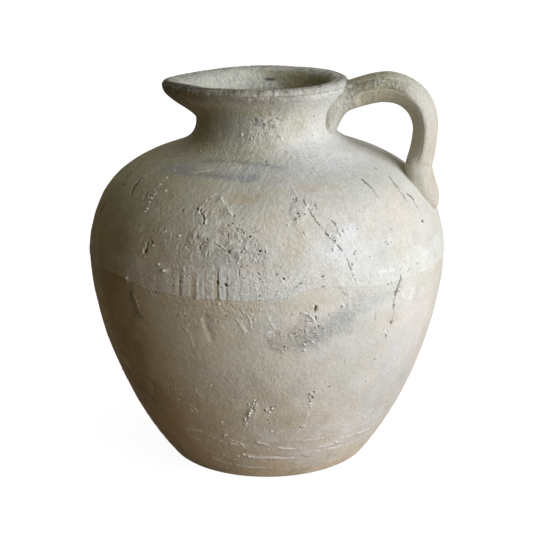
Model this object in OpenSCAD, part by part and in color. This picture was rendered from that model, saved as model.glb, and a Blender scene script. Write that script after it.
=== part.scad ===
// Hand-built ceramic pitcher: a big-bellied jug with a pinched spout and one strap handle.
// Built as a potter builds it: a slab foot, two thrown halves of the belly luted together,
// a neck, a rolled rim with its spout, and a pulled handle pressed on with soft clay.
// Millimetres. The origin is the centre of the foot's underside; +Z is up, the handle
// points along +X and the spout along -X.

/* [Belly] */
// Radius of the foot, where the belly's outline meets the table
foot_r = 99; // [90:1:110]
// Angle of the wall as it leaves the foot, from the table
heel_angle = 52; // [46:1:58]
// How long the wall keeps that angle before it rounds
heel_reach = 81; // [70:1:92]
// Largest radius of the belly
belly_r = 177; // [165:1:190]
// Height of the belly's largest radius
belly_z = 206.5; // [200:0.5:212]
// Radius at the middle of the shoulder's slope
shoulder_r = 140; // [134:1:146]
// Height of the middle of the shoulder's slope
shoulder_z = 291; // [286:1:294]
// Slope of the shoulder
shoulder_angle = 34.5; // [31:0.5:38]

/* [Walls] */
// Thickness of the thrown wall
wall = 9; // [7:0.5:11]
// Thickness of the foot slab
floor_t = 12; // [9:1:15]
// Radius of the rounded heel under the foot
heel_round = 8; // [4:1:10]

/* [Belly joint] */
// Height of the joint between the two halves of the belly
joint_z = 228; // [222:1:234]
// Lower, crisp edge of the clay band over the joint
band_lo = 209.5; // [206:0.5:214]
// Upper, feathered edge of the clay band over the joint
band_hi = 247; // [242:1:252]
// How far the clay band stands out at its lower edge
band_proud = 0.9; // [0.5:0.1:1.2]
// Depth and half height of the V cut along the joint
groove = 4; // [3:0.5:5]
// Half height of the coil smeared over the joint inside
coil_h = 13; // [10:1:16]
// Thickness of that coil
coil_t = 3.5; // [2.5:0.5:5]
// Reach of the coil that fills the corner between floor and wall
heel_coil = 13; // [10:1:16]

/* [Neck and rim] */
// Smallest outer radius of the neck
waist_r = 67; // [64:1:70]
// Height of the neck's smallest radius
waist_z = 340; // [338:0.5:342]
// Height of the joint between shoulder and neck
neck_z = 322; // [318:1:326]
// Height of the joint between neck and rim
rim_z = 344; // [343:0.5:346]
// Height of the rim's crest
crest_z = 380; // [376:1:384]
// Radius of the rim's crest
crest_r = 74; // [72:1:76]
// Outer radius of the lip
lip_r = 82.2; // [80:0.2:84]

/* [Spout] */
// Radius of the spout's tip
tip_r = 101.6; // [95:0.2:106]
// Height of the spout's tip
tip_z = 371.4; // [369:0.2:374]
// Angle over which the pinch fades out to each side
spout_spread = 17; // [14:1:22]

/* [Handle] */
// Height of the handle's middle line at the top of its arch
arch_z = 372.2; // [370:0.2:375]
// Distance of the arch's top from the jug's axis
arch_x = 119; // [114:1:124]
// Distance of the handle's middle line from the axis where it drops
drop_x = 157.3; // [154:0.1:162]
// Height at which the handle is furthest out
drop_z = 333; // [328:1:338]
// Thickness of the handle at the top of its arch
arch_t = 28.8; // [25:0.2:32]
// Thickness of the handle where it drops
drop_t = 23.2; // [20:0.2:26]
// Width of the handle
strap_w = 40; // [36:1:44]
// Squareness of the handle's section: 2 is an ellipse
squareness = 2.6; // [2:0.1:3.5]

/* [Hidden] */
$fn = 180;

clay = [0.74, 0.72, 0.66];
pale = [0.84, 0.82, 0.76];
earth = [0.66, 0.60, 0.52];

gap = 0.04;          // hairline left between the pressed-on clay and the pot
curve_steps = 16;    // points on each curve of the belly's outline
rim_steps = 7;       // points on each curve of the rim's section
rim_sides = 120;     // sections round the rim
strap_steps = 12;    // sections on each curve of the handle
strap_sides = 28;    // points round each section of the handle

// ---- curves ----
function bezier(a, b, c, d, n, first = 0) =
    [for (i = [first : n]) let (t = i / n, s = 1 - t)
        s*s*s*a + 3*s*s*t*b + 3*s*t*t*c + t*t*t*d];
function polar(length, angle) = length * [cos(angle), sin(angle)];
function unit(v) = v / norm(v);
function backwards(list) = [for (i = [len(list) - 1 : -1 : 0]) list[i]];

// ---- outline of the pot, from the heel to the neck's top ----
heel_cut = heel_round * tan(heel_angle / 2);
heel_corner = [foot_r, 0];
heel_arc = [for (i = [0 : 5])
    [foot_r - heel_cut, heel_round] + polar(heel_round, -90 + heel_angle * i / 5)];
heel_end = heel_corner + polar(heel_cut, heel_angle);
belly = [belly_r, belly_z];
shoulder = [shoulder_r, shoulder_z];
waist = [waist_r, waist_z];
shoulder_dir = polar(1, 180 - shoulder_angle);

outline = concat(
    heel_arc,
    bezier(heel_end, heel_corner + polar(heel_reach, heel_angle), belly - [0, 53], belly,
        2 * curve_steps, 1),
    bezier(belly, belly + [0, 31.5], shoulder - 32.5 * shoulder_dir, shoulder, curve_steps, 1),
    bezier(shoulder, shoulder + 43 * shoulder_dir, waist - [0, 29], waist, curve_steps, 1),
    [[waist_r + 0.3, rim_z]]);
last = len(outline) - 1;
function across(i) = let (d = unit(outline[min(i + 1, last)] - outline[max(i - 1, 0)])) [d.y, -d.x];
lining = [for (i = [0 : last]) outline[i] - wall * across(i)];

// Radius of a line of points at a height, and the stretch of it between two heights
function radius_at(line, z) = lookup(z, [for (p = line) [p.y, p.x]]);
function stretch(line, low, high) = concat(
    [[radius_at(line, low), low]],
    [for (p = line) if (p.y > low + 0.5 && p.y < high - 0.5) p],
    [[radius_at(line, high), high]]);

// ---- belly ----
groove_tip = [radius_at(outline, joint_z) - groove, joint_z];

module foot_slab() {
    color(earth) rotate_extrude()
        polygon(concat([[0, 0]], heel_arc, stretch(outline, heel_end.y, floor_t), [[0, floor_t]]));
}

module heel_coil() {
    foot_in = [radius_at(lining, floor_t), floor_t];
    top = [radius_at(lining, floor_t + heel_coil), floor_t + heel_coil];
    color(earth) rotate_extrude()
        polygon(concat([foot_in], stretch(lining, floor_t + 1, top.y),
            bezier(top, foot_in + [0, 4], foot_in + [-2, 1], foot_in - [heel_coil, 0], 8, 1)));
}

module lower_belly() {
    color(clay) rotate_extrude()
        polygon(concat(stretch(outline, floor_t, joint_z - groove), [groove_tip],
            backwards(stretch(lining, floor_t, joint_z))));
}

module upper_belly() {
    color(clay) rotate_extrude()
        polygon(concat([groove_tip], stretch(outline, joint_z + groove, neck_z),
            backwards(stretch(lining, joint_z, neck_z))));
}

// The band fills the V and is wiped over the wall: crisp below, feathered out above.
module joint_band() {
    skin = stretch(outline, band_lo, band_hi);
    color(pale) rotate_extrude()
        polygon(concat(
            [for (p = skin) p + [band_proud * (band_hi - p.y) / (band_hi - band_lo), 0]],
            backwards(concat(stretch(outline, band_lo, joint_z - groove), [groove_tip],
                stretch(outline, joint_z + groove, band_hi - 0.6)))));
}

module joint_coil() {
    back = stretch(lining, joint_z - coil_h, joint_z + coil_h);
    color(earth) rotate_extrude()
        polygon(concat(back, [for (a = [80 : -10 : -80])
            let (z = joint_z + coil_h * sin(a)) [radius_at(lining, z) - coil_t * cos(a), z]]));
}

// ---- neck and rim ----
module neck() {
    color(clay) rotate_extrude()
        polygon(concat(stretch(outline, neck_z, rim_z), backwards(stretch(lining, neck_z, rim_z))));
}

// The rim's section as three curves: up the throat, over the crest, and back under the lip.
throat = [radius_at(lining, rim_z), rim_z];
collar = [radius_at(outline, rim_z), rim_z];
plain_curves = [throat, throat + [0.2, 22], [crest_r - 13, crest_z], [crest_r, crest_z],
    [lip_r - 2.2, crest_z], [lip_r + 0.4, crest_z - 3], [lip_r, crest_z - 6.8],
    [lip_r - 0.7, crest_z - 14.5], collar + [2.2, 17], collar];
spout_curves = [throat, throat + [4.4, 12], [tip_r - 21.6, tip_z + 5.4], [tip_r - 5.1, tip_z + 5.4],
    [tip_r - 1.8, tip_z + 5.4], [tip_r + 0.2, tip_z + 3.1], [tip_r, tip_z],
    [tip_r - 0.4, tip_z - 10.4], collar + [14.7, 8.5], collar];

function pinch(angle) = exp(-pow(angle / spout_spread, 2) / 2);
function rim_section(k) = let (c = plain_curves + k * (spout_curves - plain_curves)) concat(
    bezier(c[0], c[1], c[2], c[3], rim_steps),
    bezier(c[3], c[4], c[5], c[6], rim_steps, 1),
    bezier(c[6], c[7], c[8], c[9], rim_steps, 1));

// A skin over rings of equal length; closed = true joins the last ring to the first
module ring_skin(rings, closed = false) {
    n = len(rings[0]);
    m = len(rings);
    walls = [for (i = [0 : m - (closed ? 1 : 2)], j = [0 : n - 1])
        let (a = i * n, b = ((i + 1) % m) * n, k = (j + 1) % n)
            each [[a + j, b + j, b + k], [a + j, b + k, a + k]]];
    ends = closed ? [] : [[for (j = [0 : n - 1]) j], [for (j = [n - 1 : -1 : 0]) (m - 1) * n + j]];
    polyhedron(points = [for (r = rings) each r], faces = concat(walls, ends));
}

module rim() {
    color(clay) ring_skin([for (i = [0 : rim_sides - 1])
        let (angle = 360 * i / rim_sides, turn = 180 - abs(180 - angle))
            [for (p = rim_section(pinch(turn))) [-p.x * cos(angle), -p.x * sin(angle), p.y]]],
        closed = true);
}

// ---- handle ----
// A section is laid between an outer and an inner point of the handle's plane, with a width.
function strap_ring(outer, inner, half_w) =
    let (mid = (outer + inner) / 2, arm = (outer - inner) / 2, power = 2 / squareness)
        [for (i = [0 : strap_sides - 1])
            let (a = 360 * i / strap_sides, c = sign(cos(a)) * pow(abs(cos(a)), power),
                 s = sign(sin(a)) * pow(abs(sin(a)), power), p = mid + arm * c)
                [p.x, half_w * s, p.y]];
function middle_ring(p, dir, half_t) =
    strap_ring(p + half_t * [-dir.y, dir.x], p - half_t * [-dir.y, dir.x], strap_w / 2);

// The middle line starts beside the rim, arches over and drops to the shoulder.
root = [88, arch_z - 6.5];
root_dir = polar(1, 16);
arch = [arch_x, arch_z];
drop = [drop_x, drop_z];
tail = [drop_x - 4.8, drop_z - 31.7];
tail_dir = polar(1, -105);
strap_line = concat(
    bezier(root, root + 10 * root_dir, arch - [10, 0], arch, strap_steps),
    bezier(arch, arch + [23.5, 0], drop + [0, 22], drop, strap_steps, 1),
    bezier(drop, drop - [0, 11], tail - 10 * tail_dir, tail, strap_steps, 1));
strap_last = len(strap_line) - 1;
root_t = 27.2;
tail_t = 24.6;
function strap_dir(i) = i == 0 ? root_dir : i == strap_last ? tail_dir :
    unit(strap_line[i + 1] - strap_line[i - 1]);
function strap_t(i) = lookup(i / strap_steps,
    [[0, root_t], [1, arch_t], [1.5, 27.2], [2, drop_t], [3, tail_t]]);

module handle() {
    color(clay) ring_skin([for (i = [0 : strap_last])
        middle_ring(strap_line[i], strap_dir(i), strap_t(i) / 2)]);
}

// The pot's outside above the belly, which the pressed-on clay is cut back to
module pot_outside() {
    plain = rim_section(0);
    outside = concat(stretch(outline, band_hi, rim_z), [for (i = [len(plain) - 2 : -1 : rim_steps]) plain[i]]);
    rotate_extrude() polygon(concat([[0, band_hi]], [for (p = outside) p + [gap, 0]], [[0, crest_z + 3]]));
}

// Sections of a pressed-on end: three points of outer edge, inner edge and half width
function pressed(o, i, w, n) = let (outer = bezier(o[0], o[1], o[2], o[3], n),
        inner = bezier(i[0], i[1], i[2], i[3], n), width = bezier(w[0], w[1], w[2], w[3], n))
    [for (k = [0 : n]) strap_ring(outer[k], inner[k], width[k])];
function across_end(p, dir, t, side) = p + side * t / 2 * [-dir.y, dir.x];

module handle_top_lute() {
    top = across_end(root, root_dir, root_t, 1);
    under = across_end(root, root_dir, root_t, -1);
    color(pale) difference() {
        ring_skin(backwards(pressed(
            [top, top - 8 * root_dir, [66, arch_z + 2], [58, arch_z]],
            [under, under - 12 * root_dir, [waist_r + 3, waist_z + 2], [waist_r - 3, waist_z - 17]],
            [strap_w / 2, strap_w / 2 + 0.5, 23.5, 24], 8)));
        pot_outside();
    }
}

module handle_tail_lute() {
    front = across_end(tail, tail_dir, tail_t, 1);
    back = across_end(tail, tail_dir, tail_t, -1);
    color(pale) difference() {
        ring_skin(pressed(
            [front, front + 16 * tail_dir, [174, 266], [165, 250]],
            [back, back + 18 * tail_dir, [138, 268], [156, 252]],
            [strap_w / 2, 27, 31, 6], 12));
        pot_outside();
    }
}

foot_slab();
heel_coil();
lower_belly();
upper_belly();
joint_band();
joint_coil();
neck();
rim();
handle();
handle_top_lute();
handle_tail_lute();
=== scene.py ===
"""A weathered, hand-built earthenware pitcher: the finish laid over its packed construction.

Lengths in this script are millimetres and angles are degrees until a mesh is written, which is
in metres. A place on the pot is (azimuth, height): azimuth 0 faces -Y and 90 faces +X, where the
handle is; the spout is at -90.
"""
import itertools
import logging
import math
from collections.abc import Callable, Sequence
from dataclasses import dataclass, field
from enum import Enum
from typing import ClassVar

import bmesh
import bpy
import numpy as np
from mathutils import Matrix, Vector


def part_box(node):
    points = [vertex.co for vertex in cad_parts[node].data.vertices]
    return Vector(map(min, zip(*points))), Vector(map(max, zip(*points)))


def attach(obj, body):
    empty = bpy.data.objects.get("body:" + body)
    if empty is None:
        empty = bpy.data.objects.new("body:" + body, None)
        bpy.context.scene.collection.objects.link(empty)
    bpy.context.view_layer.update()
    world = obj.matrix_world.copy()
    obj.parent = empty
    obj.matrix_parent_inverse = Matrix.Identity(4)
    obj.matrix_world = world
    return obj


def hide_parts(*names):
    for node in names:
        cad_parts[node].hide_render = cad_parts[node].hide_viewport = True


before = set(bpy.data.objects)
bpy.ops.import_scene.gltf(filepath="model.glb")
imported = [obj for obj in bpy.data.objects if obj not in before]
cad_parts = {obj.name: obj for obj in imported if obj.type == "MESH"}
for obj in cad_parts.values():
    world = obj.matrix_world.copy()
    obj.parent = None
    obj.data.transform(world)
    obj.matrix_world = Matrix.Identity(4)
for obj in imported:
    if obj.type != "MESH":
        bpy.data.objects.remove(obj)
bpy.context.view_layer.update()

log = logging.getLogger("pitcher")

MM = 0.001
BODY = "root"
FAR = 99.0
WHOLE = slice(None)
WHITE = (1.0, 1.0, 1.0, 1.0)
ALONG, TURN = "along", "turn"
SKIN_ROWS = ("lift", "hollow", "chalk", "rough", "tint")
Place = tuple[float, float]
Colour = tuple[float, float, float]
Chosen = np.ndarray | slice
Feed = bpy.types.NodeSocket | float


# ---------------------------------------------------------------- small maths

def srgb(red: int, green: int, blue: int) -> Colour:
    """Turns a colour as it is seen, 0 to 255, into linear light.

    Args:
        red, green, blue: the colour as it is seen.

    Returns:
        The colour in linear light.
    """
    def linear(value: int) -> float:
        """Linear light of one channel."""
        share = value / 255
        return share / 12.92 if share <= 0.04045 else ((share + 0.055) / 1.055) ** 2.4
    return linear(red), linear(green), linear(blue)


def unit(value: np.ndarray) -> np.ndarray:
    """Keeps values between 0 and 1."""
    return np.clip(value, 0, 1)


def ease(low: float, high: float, value: np.ndarray) -> np.ndarray:
    """Smooth step from 0 at low to 1 at high."""
    share = unit((value - low) / (high - low))
    return share * share * (3 - 2 * share)


def hump(value: np.ndarray, centre: float, width: float) -> np.ndarray:
    """A smooth hump, 1 at its centre."""
    return np.exp(-((value - centre) / width) ** 2)


def bezier(a: np.ndarray, b: np.ndarray, c: np.ndarray, d: np.ndarray, share: np.ndarray) -> np.ndarray:
    """Points of a cubic curve.

    Args:
        a, b, c, d: the curve's four control points, or one of each for every share.
        share: where along the curve, 0 to 1, one value for each point wanted.

    Returns:
        One point for each share.
    """
    a, b, c, d = (np.asarray(point) for point in (a, b, c, d))
    t = np.asarray(share, float)[..., None]
    s = 1 - t
    return s ** 3 * a + 3 * s * s * t * b + 3 * s * t * t * c + t ** 3 * d


def polar(length: float, angle: float) -> np.ndarray:
    """A step of a length in a direction, in the (radius, height) plane."""
    return length * np.array([math.cos(math.radians(angle)), math.sin(math.radians(angle))])


def apart(azimuth: np.ndarray, centre: float) -> np.ndarray:
    """Degrees between azimuths, 0 to 180."""
    return np.abs((azimuth - centre + 180) % 360 - 180)


def azimuths(points: np.ndarray) -> np.ndarray:
    """Degrees round the pot of some points, -180 to 180."""
    return np.degrees(np.arctan2(points[:, 0], -points[:, 1]))


def radii(points: np.ndarray) -> np.ndarray:
    """How far points are from the pot's axis."""
    return np.hypot(points[:, 0], points[:, 1])


def columns(*rows: np.ndarray) -> np.ndarray:
    """Puts rows of numbers side by side, one column each."""
    return np.stack(rows, axis=1)


def close_ends(line: np.ndarray, shares: tuple[float, float] = (0.12, 0.42)) -> np.ndarray:
    """Adds points close to both ends of a line, so that it runs smoothly into the next piece.

    Args:
        line: points in order.
        shares: how far along its first and its last step each new point lies.

    Returns:
        The line with the new points in it.
    """
    first = [line[0] + share * (line[1] - line[0]) for share in shares]
    last = [line[-1] + share * (line[-2] - line[-1]) for share in shares[::-1]]
    return np.concatenate([line[:1], first, line[1:-1], last, line[-1:]])


def run_along(line: np.ndarray) -> np.ndarray:
    """How far along a line each of its points is."""
    return np.concatenate([[0], np.cumsum(np.linalg.norm(np.diff(line, axis=0), axis=1))])


def even_steps(line: np.ndarray, spacing: float) -> np.ndarray:
    """Places points along a line at an even spacing, both ends kept.

    Args:
        line: points in order.
        spacing: the step wanted, in millimetres.

    Returns:
        The new points, from the same end to the same end.
    """
    run = run_along(line)
    count = max(1, round(run[-1] / spacing))
    stops = np.linspace(0, run[-1], count + 1)
    return np.stack([np.interp(stops, run, line[:, i]) for i in range(line.shape[1])], axis=1)


def noise(points: np.ndarray, size: float, seed: int) -> np.ndarray:
    """Smooth random values, -1 to 1, in lumps of a given size.

    Args:
        points: places, in millimetres, one row each.
        size: width of a lump, in millimetres.
        seed: picks one of the endless patterns.

    Returns:
        One value for each place.
    """
    grid = points / size + 0.37 * seed
    cell = np.floor(grid).astype(np.int64)
    part = grid - cell
    part = part * part * (3 - 2 * part)
    total = np.zeros(len(points))
    for corner in itertools.product((0, 1), repeat=3):
        key = (cell + corner) @ np.array([73856093, 19349663, 83492791]) + seed * 668265263
        key = (key ^ (key >> 13)) * 1274126177 & 0x7FFFFFFF
        key = (key ^ (key >> 16)) * 1103515245 & 0x7FFFFFFF
        total += (key / 0x3FFFFFFF - 1) * np.prod(np.where(corner, part, 1 - part), axis=1)
    return total


def layered(points: np.ndarray, size: float, seed: int, layers: int = 3) -> np.ndarray:
    """Noise with finer and weaker noise added to it, still about -1 to 1."""
    total = sum(noise(points, size / 2 ** i, seed + 11 * i) / 2 ** i for i in range(layers))
    return total / (2 - 2 ** (1 - layers))


def shaken(points: np.ndarray, size: float, seed: int) -> np.ndarray:
    """A smooth random shift for each point, -1 to 1 along each axis."""
    return columns(*(noise(points, size, seed + axis) for axis in range(3)))


# ---------------------------------------------------------------- the pot's outline

@dataclass
class Outline:
    """The outside of the pot below its rim, as (radius, height), and the places on it."""
    foot_r: float = 99.0
    heel_angle: float = 52.0
    heel_reach: float = 81.0
    heel_round: float = 8.0
    belly_z: float = 206.5
    shoulder_r: float = 140.0
    shoulder_z: float = 291.0
    shoulder_angle: float = 34.5
    waist_r: float = 67.0
    waist_z: float = 340.0
    wall: float = 9.0
    belly_r: float = field(default_factory=lambda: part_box("lower_belly")[1].x / MM)
    floor_z: float = field(default_factory=lambda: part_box("foot_slab")[1].z / MM)
    joint_z: float = field(default_factory=lambda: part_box("lower_belly")[1].z / MM)
    neck_z: float = field(default_factory=lambda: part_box("neck")[0].z / MM)
    rim_z: float = field(default_factory=lambda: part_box("rim")[0].z / MM)

    def __post_init__(self) -> None:
        """Works out the outer line, its normals and the lining from the sizes above."""
        share = np.linspace(0, 1, 120)
        corner = np.array([self.foot_r, 0.0])
        belly = np.array([self.belly_r, self.belly_z])
        shoulder = np.array([self.shoulder_r, self.shoulder_z])
        waist = np.array([self.waist_r, self.waist_z])
        slope = polar(1, 180 - self.shoulder_angle)
        cut = self.heel_round * math.tan(math.radians(self.heel_angle / 2))
        centre = np.array([self.foot_r - cut, self.heel_round])
        turns = np.linspace(-90, self.heel_angle - 90, 12)
        self.heel = np.array([centre + polar(self.heel_round, a) for a in turns])
        heel_end = corner + polar(cut, self.heel_angle)
        leaving = corner + polar(self.heel_reach, self.heel_angle)
        rise = bezier(heel_end, leaving, belly - (0, 53), belly, share)
        over = bezier(belly, belly + (0, 31.5), shoulder - 32.5 * slope, shoulder, share)
        up = bezier(shoulder, shoulder + 43 * slope, waist - (0, 29), waist, share)
        self.line = np.vstack([rise, over[1:], up[1:], [[self.waist_r + 0.3, self.rim_z]]])
        step = np.gradient(self.line, axis=0)
        step /= np.linalg.norm(step, axis=1)[:, None]
        self.facing = columns(step[:, 1], -step[:, 0])
        self.lining = self.line - self.wall * self.facing

    def radius(self, height: np.ndarray) -> np.ndarray:
        """Outer radius at a height."""
        return np.interp(height, self.line[:, 1], self.line[:, 0])

    def inner_radius(self, height: np.ndarray) -> np.ndarray:
        """Radius of the lining at a height."""
        return np.interp(height, self.lining[:, 1], self.lining[:, 0])

    def stretch(self, line: np.ndarray, low: float, high: float, spacing: float) -> np.ndarray:
        """The part of an upright line between two heights, in even steps, from the bottom up.

        Args:
            line: points of radius and height.
            low, high: the heights to keep between, in millimetres.
            spacing: the step wanted, in millimetres.

        Returns:
            Points of radius and height, from the bottom up.
        """
        inside = line[(line[:, 1] > low + 0.01) & (line[:, 1] < high - 0.01)]
        ends = [[np.interp(z, line[:, 1], line[:, 0]), z] for z in (low, high)]
        return even_steps(np.vstack([ends[0], inside, ends[1]]), spacing)

    def at(self, azimuth: float, height: float) -> np.ndarray:
        """The point of the pot's outside at a place.

        Args:
            azimuth: angle round the pot, in degrees.
            height: height above the ground, in millimetres.

        Returns:
            The point, in millimetres.
        """
        r = float(self.radius(height))
        a = math.radians(azimuth)
        return np.array([r * math.sin(a), -r * math.cos(a), height])

    def trace(self, path: list[Place], spacing: float = 2.0) -> np.ndarray:
        """A path over the pot's outside, through some places."""
        steps = even_steps(np.array([(a * 3.0, z) for a, z in path], float), spacing)
        return np.array([self.at(a / 3.0, z) for a, z in steps])

    def normal(self, azimuth: float, height: float) -> np.ndarray:
        """Direction out of the pot at a place.

        Args:
            azimuth: angle round the pot, in degrees.
            height: height above the ground, in millimetres.

        Returns:
            A direction one long.
        """
        nr, nz = (np.interp(height, self.line[:, 1], self.facing[:, i]) for i in (0, 1))
        a = math.radians(azimuth)
        return np.array([nr * math.sin(a), -nr * math.cos(a), nz])


# ---------------------------------------------------------------- skin and marks

class Clay(Enum):
    """Colours of the pot's clay, washes and dirt; some of them are also laid on as painted light and painted
    shade.
    """
    CREAM = srgb(223, 222, 209)
    PEACH = srgb(229, 217, 203)
    GREY = srgb(210, 213, 210)
    TAN = srgb(230, 219, 196)
    OLIVE = srgb(203, 197, 157)
    EARTH = srgb(230, 216, 187)
    SLIP = srgb(236, 237, 229)
    SMOKE = srgb(155, 158, 154)
    BLUE_GREY = srgb(166, 172, 174)
    LIME = srgb(244, 244, 242)
    OCHRE = srgb(211, 195, 160)
    BARE = srgb(167, 160, 130)
    SOOT = srgb(92, 86, 70)
    # brown laid on only as painted shade, on the side of the pot away from the lamp
    UMBER = srgb(122, 85, 48)


class Places:
    """Points in space, kept in order of height so that those near something are found quickly."""

    def __init__(self, points: np.ndarray) -> None:
        """Sorts the points, in millimetres, by height.

        Args:
            points: places, in millimetres, one row each.
        """
        self.points = points
        self.order = np.argsort(points[:, 2])
        self.heights = points[self.order, 2]

    def near(self, line: np.ndarray, reach: float) -> np.ndarray:
        """Numbers of the points in the box around a line, grown by a reach.

        Args:
            line: points of the line.
            reach: how far past the line the box goes, in millimetres.

        Returns:
            Row numbers of the points in the box.
        """
        low, high = line.min(axis=0) - reach, line.max(axis=0) + reach
        first, last = np.searchsorted(self.heights, (low[2], high[2]))
        part = self.order[first:last]
        spot = self.points[part, :2]
        return part[((spot > low[:2]) & (spot < high[:2])).all(axis=1)]


class Skin(Places):
    """What is pressed into, laid on and rubbed over one piece's surface, point by point."""

    def __init__(self, points: np.ndarray) -> None:
        """Starts an even, bare skin over some places, in millimetres.

        Args:
            points: places, in millimetres, one row each.
        """
        super().__init__(points)
        count = len(points)
        self.lift = np.zeros(count)
        self.hollow = np.zeros(count)
        self.chalk = np.zeros(count)
        self.rough = np.zeros(count)
        self.tint = np.tile(np.array(Clay.CREAM.value), (count, 1))

    def stain(self, colour: Clay, amount: np.ndarray, where: Chosen = WHOLE) -> None:
        """Blends a colour into the tint."""
        self.tint[where] += (np.array(colour.value) - self.tint[where]) * np.asarray(amount)[:, None]

    def darken(self, amount: np.ndarray, where: Chosen = WHOLE) -> None:
        """Paints shade into the hollows up to an amount, where they are paler than that."""
        self.hollow[where] = np.maximum(self.hollow[where], amount)

    def whiten(self, amount: np.ndarray, where: Chosen = WHOLE) -> None:
        """Lays chalk on up to an amount, where there is less than that."""
        self.chalk[where] = np.maximum(self.chalk[where], amount)

    def roughen(self, amount: np.ndarray, where: Chosen = WHOLE) -> None:
        """Roughens the grain up to an amount, where it is smoother than that."""
        self.rough[where] = np.maximum(self.rough[where], amount)

    def blend(self, other: "Skin", share: np.ndarray) -> None:
        """Turns this skin into another one, where the share is 1.

        Args:
            other: the skin to turn into, over the same places.
            share: 0 to 1 for each place.
        """
        for name in SKIN_ROWS:
            mine, theirs = getattr(self, name), getattr(other, name)
            mine += (theirs - mine) * (share[:, None] if mine.ndim > 1 else share)


def line_distance(points: np.ndarray, line: np.ndarray) -> tuple[np.ndarray, np.ndarray]:
    """How far points are from a line of points.

    Args:
        points: places, one row each.
        line: the line's own points, in order.

    Returns:
        The distance of each place, and where along the line its nearest point is, 0 to 1.
    """
    best = np.linalg.norm(points - line[0], axis=1)
    along = np.zeros(len(points))
    for i in range(len(line) - 1):
        step = line[i + 1] - line[i]
        share = unit((points - line[i]) @ step / (step @ step))
        gap = np.linalg.norm(points - line[i] - share[:, None] * step, axis=1)
        closer = gap < best
        best[closer] = gap[closer]
        along[closer] = (i + share[closer]) / (len(line) - 1)
    return best, along


class Mark:
    """Something that happened to the pot's surface; one that refines needs a finer mesh."""
    fine: float = 0.0
    refines: ClassVar[bool] = True

    def line(self, pot: Outline) -> np.ndarray:
        """The points that the mark lies along."""
        raise NotImplementedError

    def reach(self) -> float:
        """How far from its line the mark is felt."""
        raise NotImplementedError

    def extent(self) -> float:
        """How far from its line the mark needs a finer mesh."""
        return 0.0

    def closeness(self, spot: np.ndarray, pot: Outline) -> np.ndarray:
        """How far points are from the part of the mark that needs the finest mesh."""
        return line_distance(spot, self.line(pot))[0] - self.fine

    def work(self, skin: Skin, where: np.ndarray, line: np.ndarray, pot: Outline) -> None:
        """Works the mark, which lies along a line, into some points of a skin."""
        raise NotImplementedError

    def apply(self, skin: Skin, pot: Outline) -> None:
        """Works the mark into a skin, if it comes near.

        Args:
            skin: the skin to change.
            pot: the pot's outline.
        """
        line = self.line(pot)
        where = skin.near(line, self.reach())
        if len(where):
            self.work(skin, where, line, pot)


@dataclass
class Crack(Mark):
    """A jagged drying crack, open and darkened with painted shade, with chalky broken lips."""
    path: list[Place]
    width: float = 1.2
    depth: float = 1.8
    jag: float = 1.2
    lips: float = 0.5
    dark: float = 0.8
    fine: float = 2.5

    def line(self, pot: Outline) -> np.ndarray:
        """The path laid over the pot."""
        return pot.trace(self.path)

    def reach(self) -> float:
        """Past the lips, and past where the crack wanders."""
        return 6 + self.jag

    def bent(self, spot: np.ndarray) -> np.ndarray:
        """Points moved about a little, so that the crack wanders off its path."""
        wander = shaken(spot, 3.2, 41) + 0.8 * shaken(spot, 8.0, 46)
        return spot + (0.3 + self.jag * 0.4) * wander + 0.4 * shaken(spot, 1.7, 44)

    def closeness(self, spot: np.ndarray, pot: Outline) -> np.ndarray:
        """How far points are from the crack where it really runs."""
        return line_distance(self.bent(spot), self.line(pot))[0] - self.fine

    def work(self, skin: Skin, where: np.ndarray, line: np.ndarray, pot: Outline) -> None:
        """Cuts the crack, paints shade into it and raises its lips.

        Args:
            skin: the skin to change.
            where: numbers of the places that the mark may reach.
            line: the mark's own line of points, in millimetres.
            pot: the pot's outline; not used.
        """
        spot = skin.points[where]
        gap, along = line_distance(self.bent(spot), line)
        length = float(np.linalg.norm(np.diff(line, axis=0), axis=1).sum())
        taper = min(max(3.2 / length, 0.05), 0.48)
        fade = ease(0, taper, along) * ease(0, taper, 1 - along)
        beside = line[np.minimum((along * (len(line) - 1)).astype(int), len(line) - 1)]
        swell = np.clip(0.85 + 0.7 * noise(beside, 4.5, 47), 0.45, 1.25)
        half = np.maximum(self.width / 2 * fade * swell, 0.4)
        cut = unit(1.3 - gap / half) * fade * unit(0.4 + swell)
        lip = hump(gap - half, 0.5, 0.8) * unit(noise(spot, 4.5, 53) + 0.35) * fade
        skin.lift[where] += 0.5 * self.lips * lip - self.depth * cut ** 0.7
        skin.darken(self.dark * cut, where)
        skin.whiten(self.lips * lip, where)


@dataclass
class Scratch(Mark):
    """A thin pale score, dragged by a tool or a grain of sand."""
    path: list[Place]
    width: float = 0.9
    depth: float = 0.3
    chalk: float = 0.7
    broken: float = 0.3
    fine: float = 2.1

    def line(self, pot: Outline) -> np.ndarray:
        """The path laid over the pot."""
        return pot.trace(self.path)

    def reach(self) -> float:
        """Past where the score wanders."""
        return 5.0

    def work(self, skin: Skin, where: np.ndarray, line: np.ndarray, pot: Outline) -> None:
        """Scores the line and leaves chalk in it where it isn't broken off.

        Args:
            skin: the skin to change.
            where: numbers of the places that the mark may reach.
            line: the mark's own line of points, in millimetres.
            pot: the pot's outline; not used.
        """
        spot = skin.points[where]
        bent = spot + 0.7 * shaken(spot, 7, 81) + 0.3 * noise(spot, 2.6, 84)[:, None]
        gap, along = line_distance(bent, line)
        score = unit(1.4 - gap / self.width) * ease(0, 0.15, along) * ease(0, 0.15, 1 - along)
        score *= ease(-0.4, 0.4, noise(spot, 4.0, 87) + 0.6 - 1.5 * self.broken)
        skin.lift[where] -= self.depth * score
        skin.whiten(self.chalk * score, where)


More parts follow.
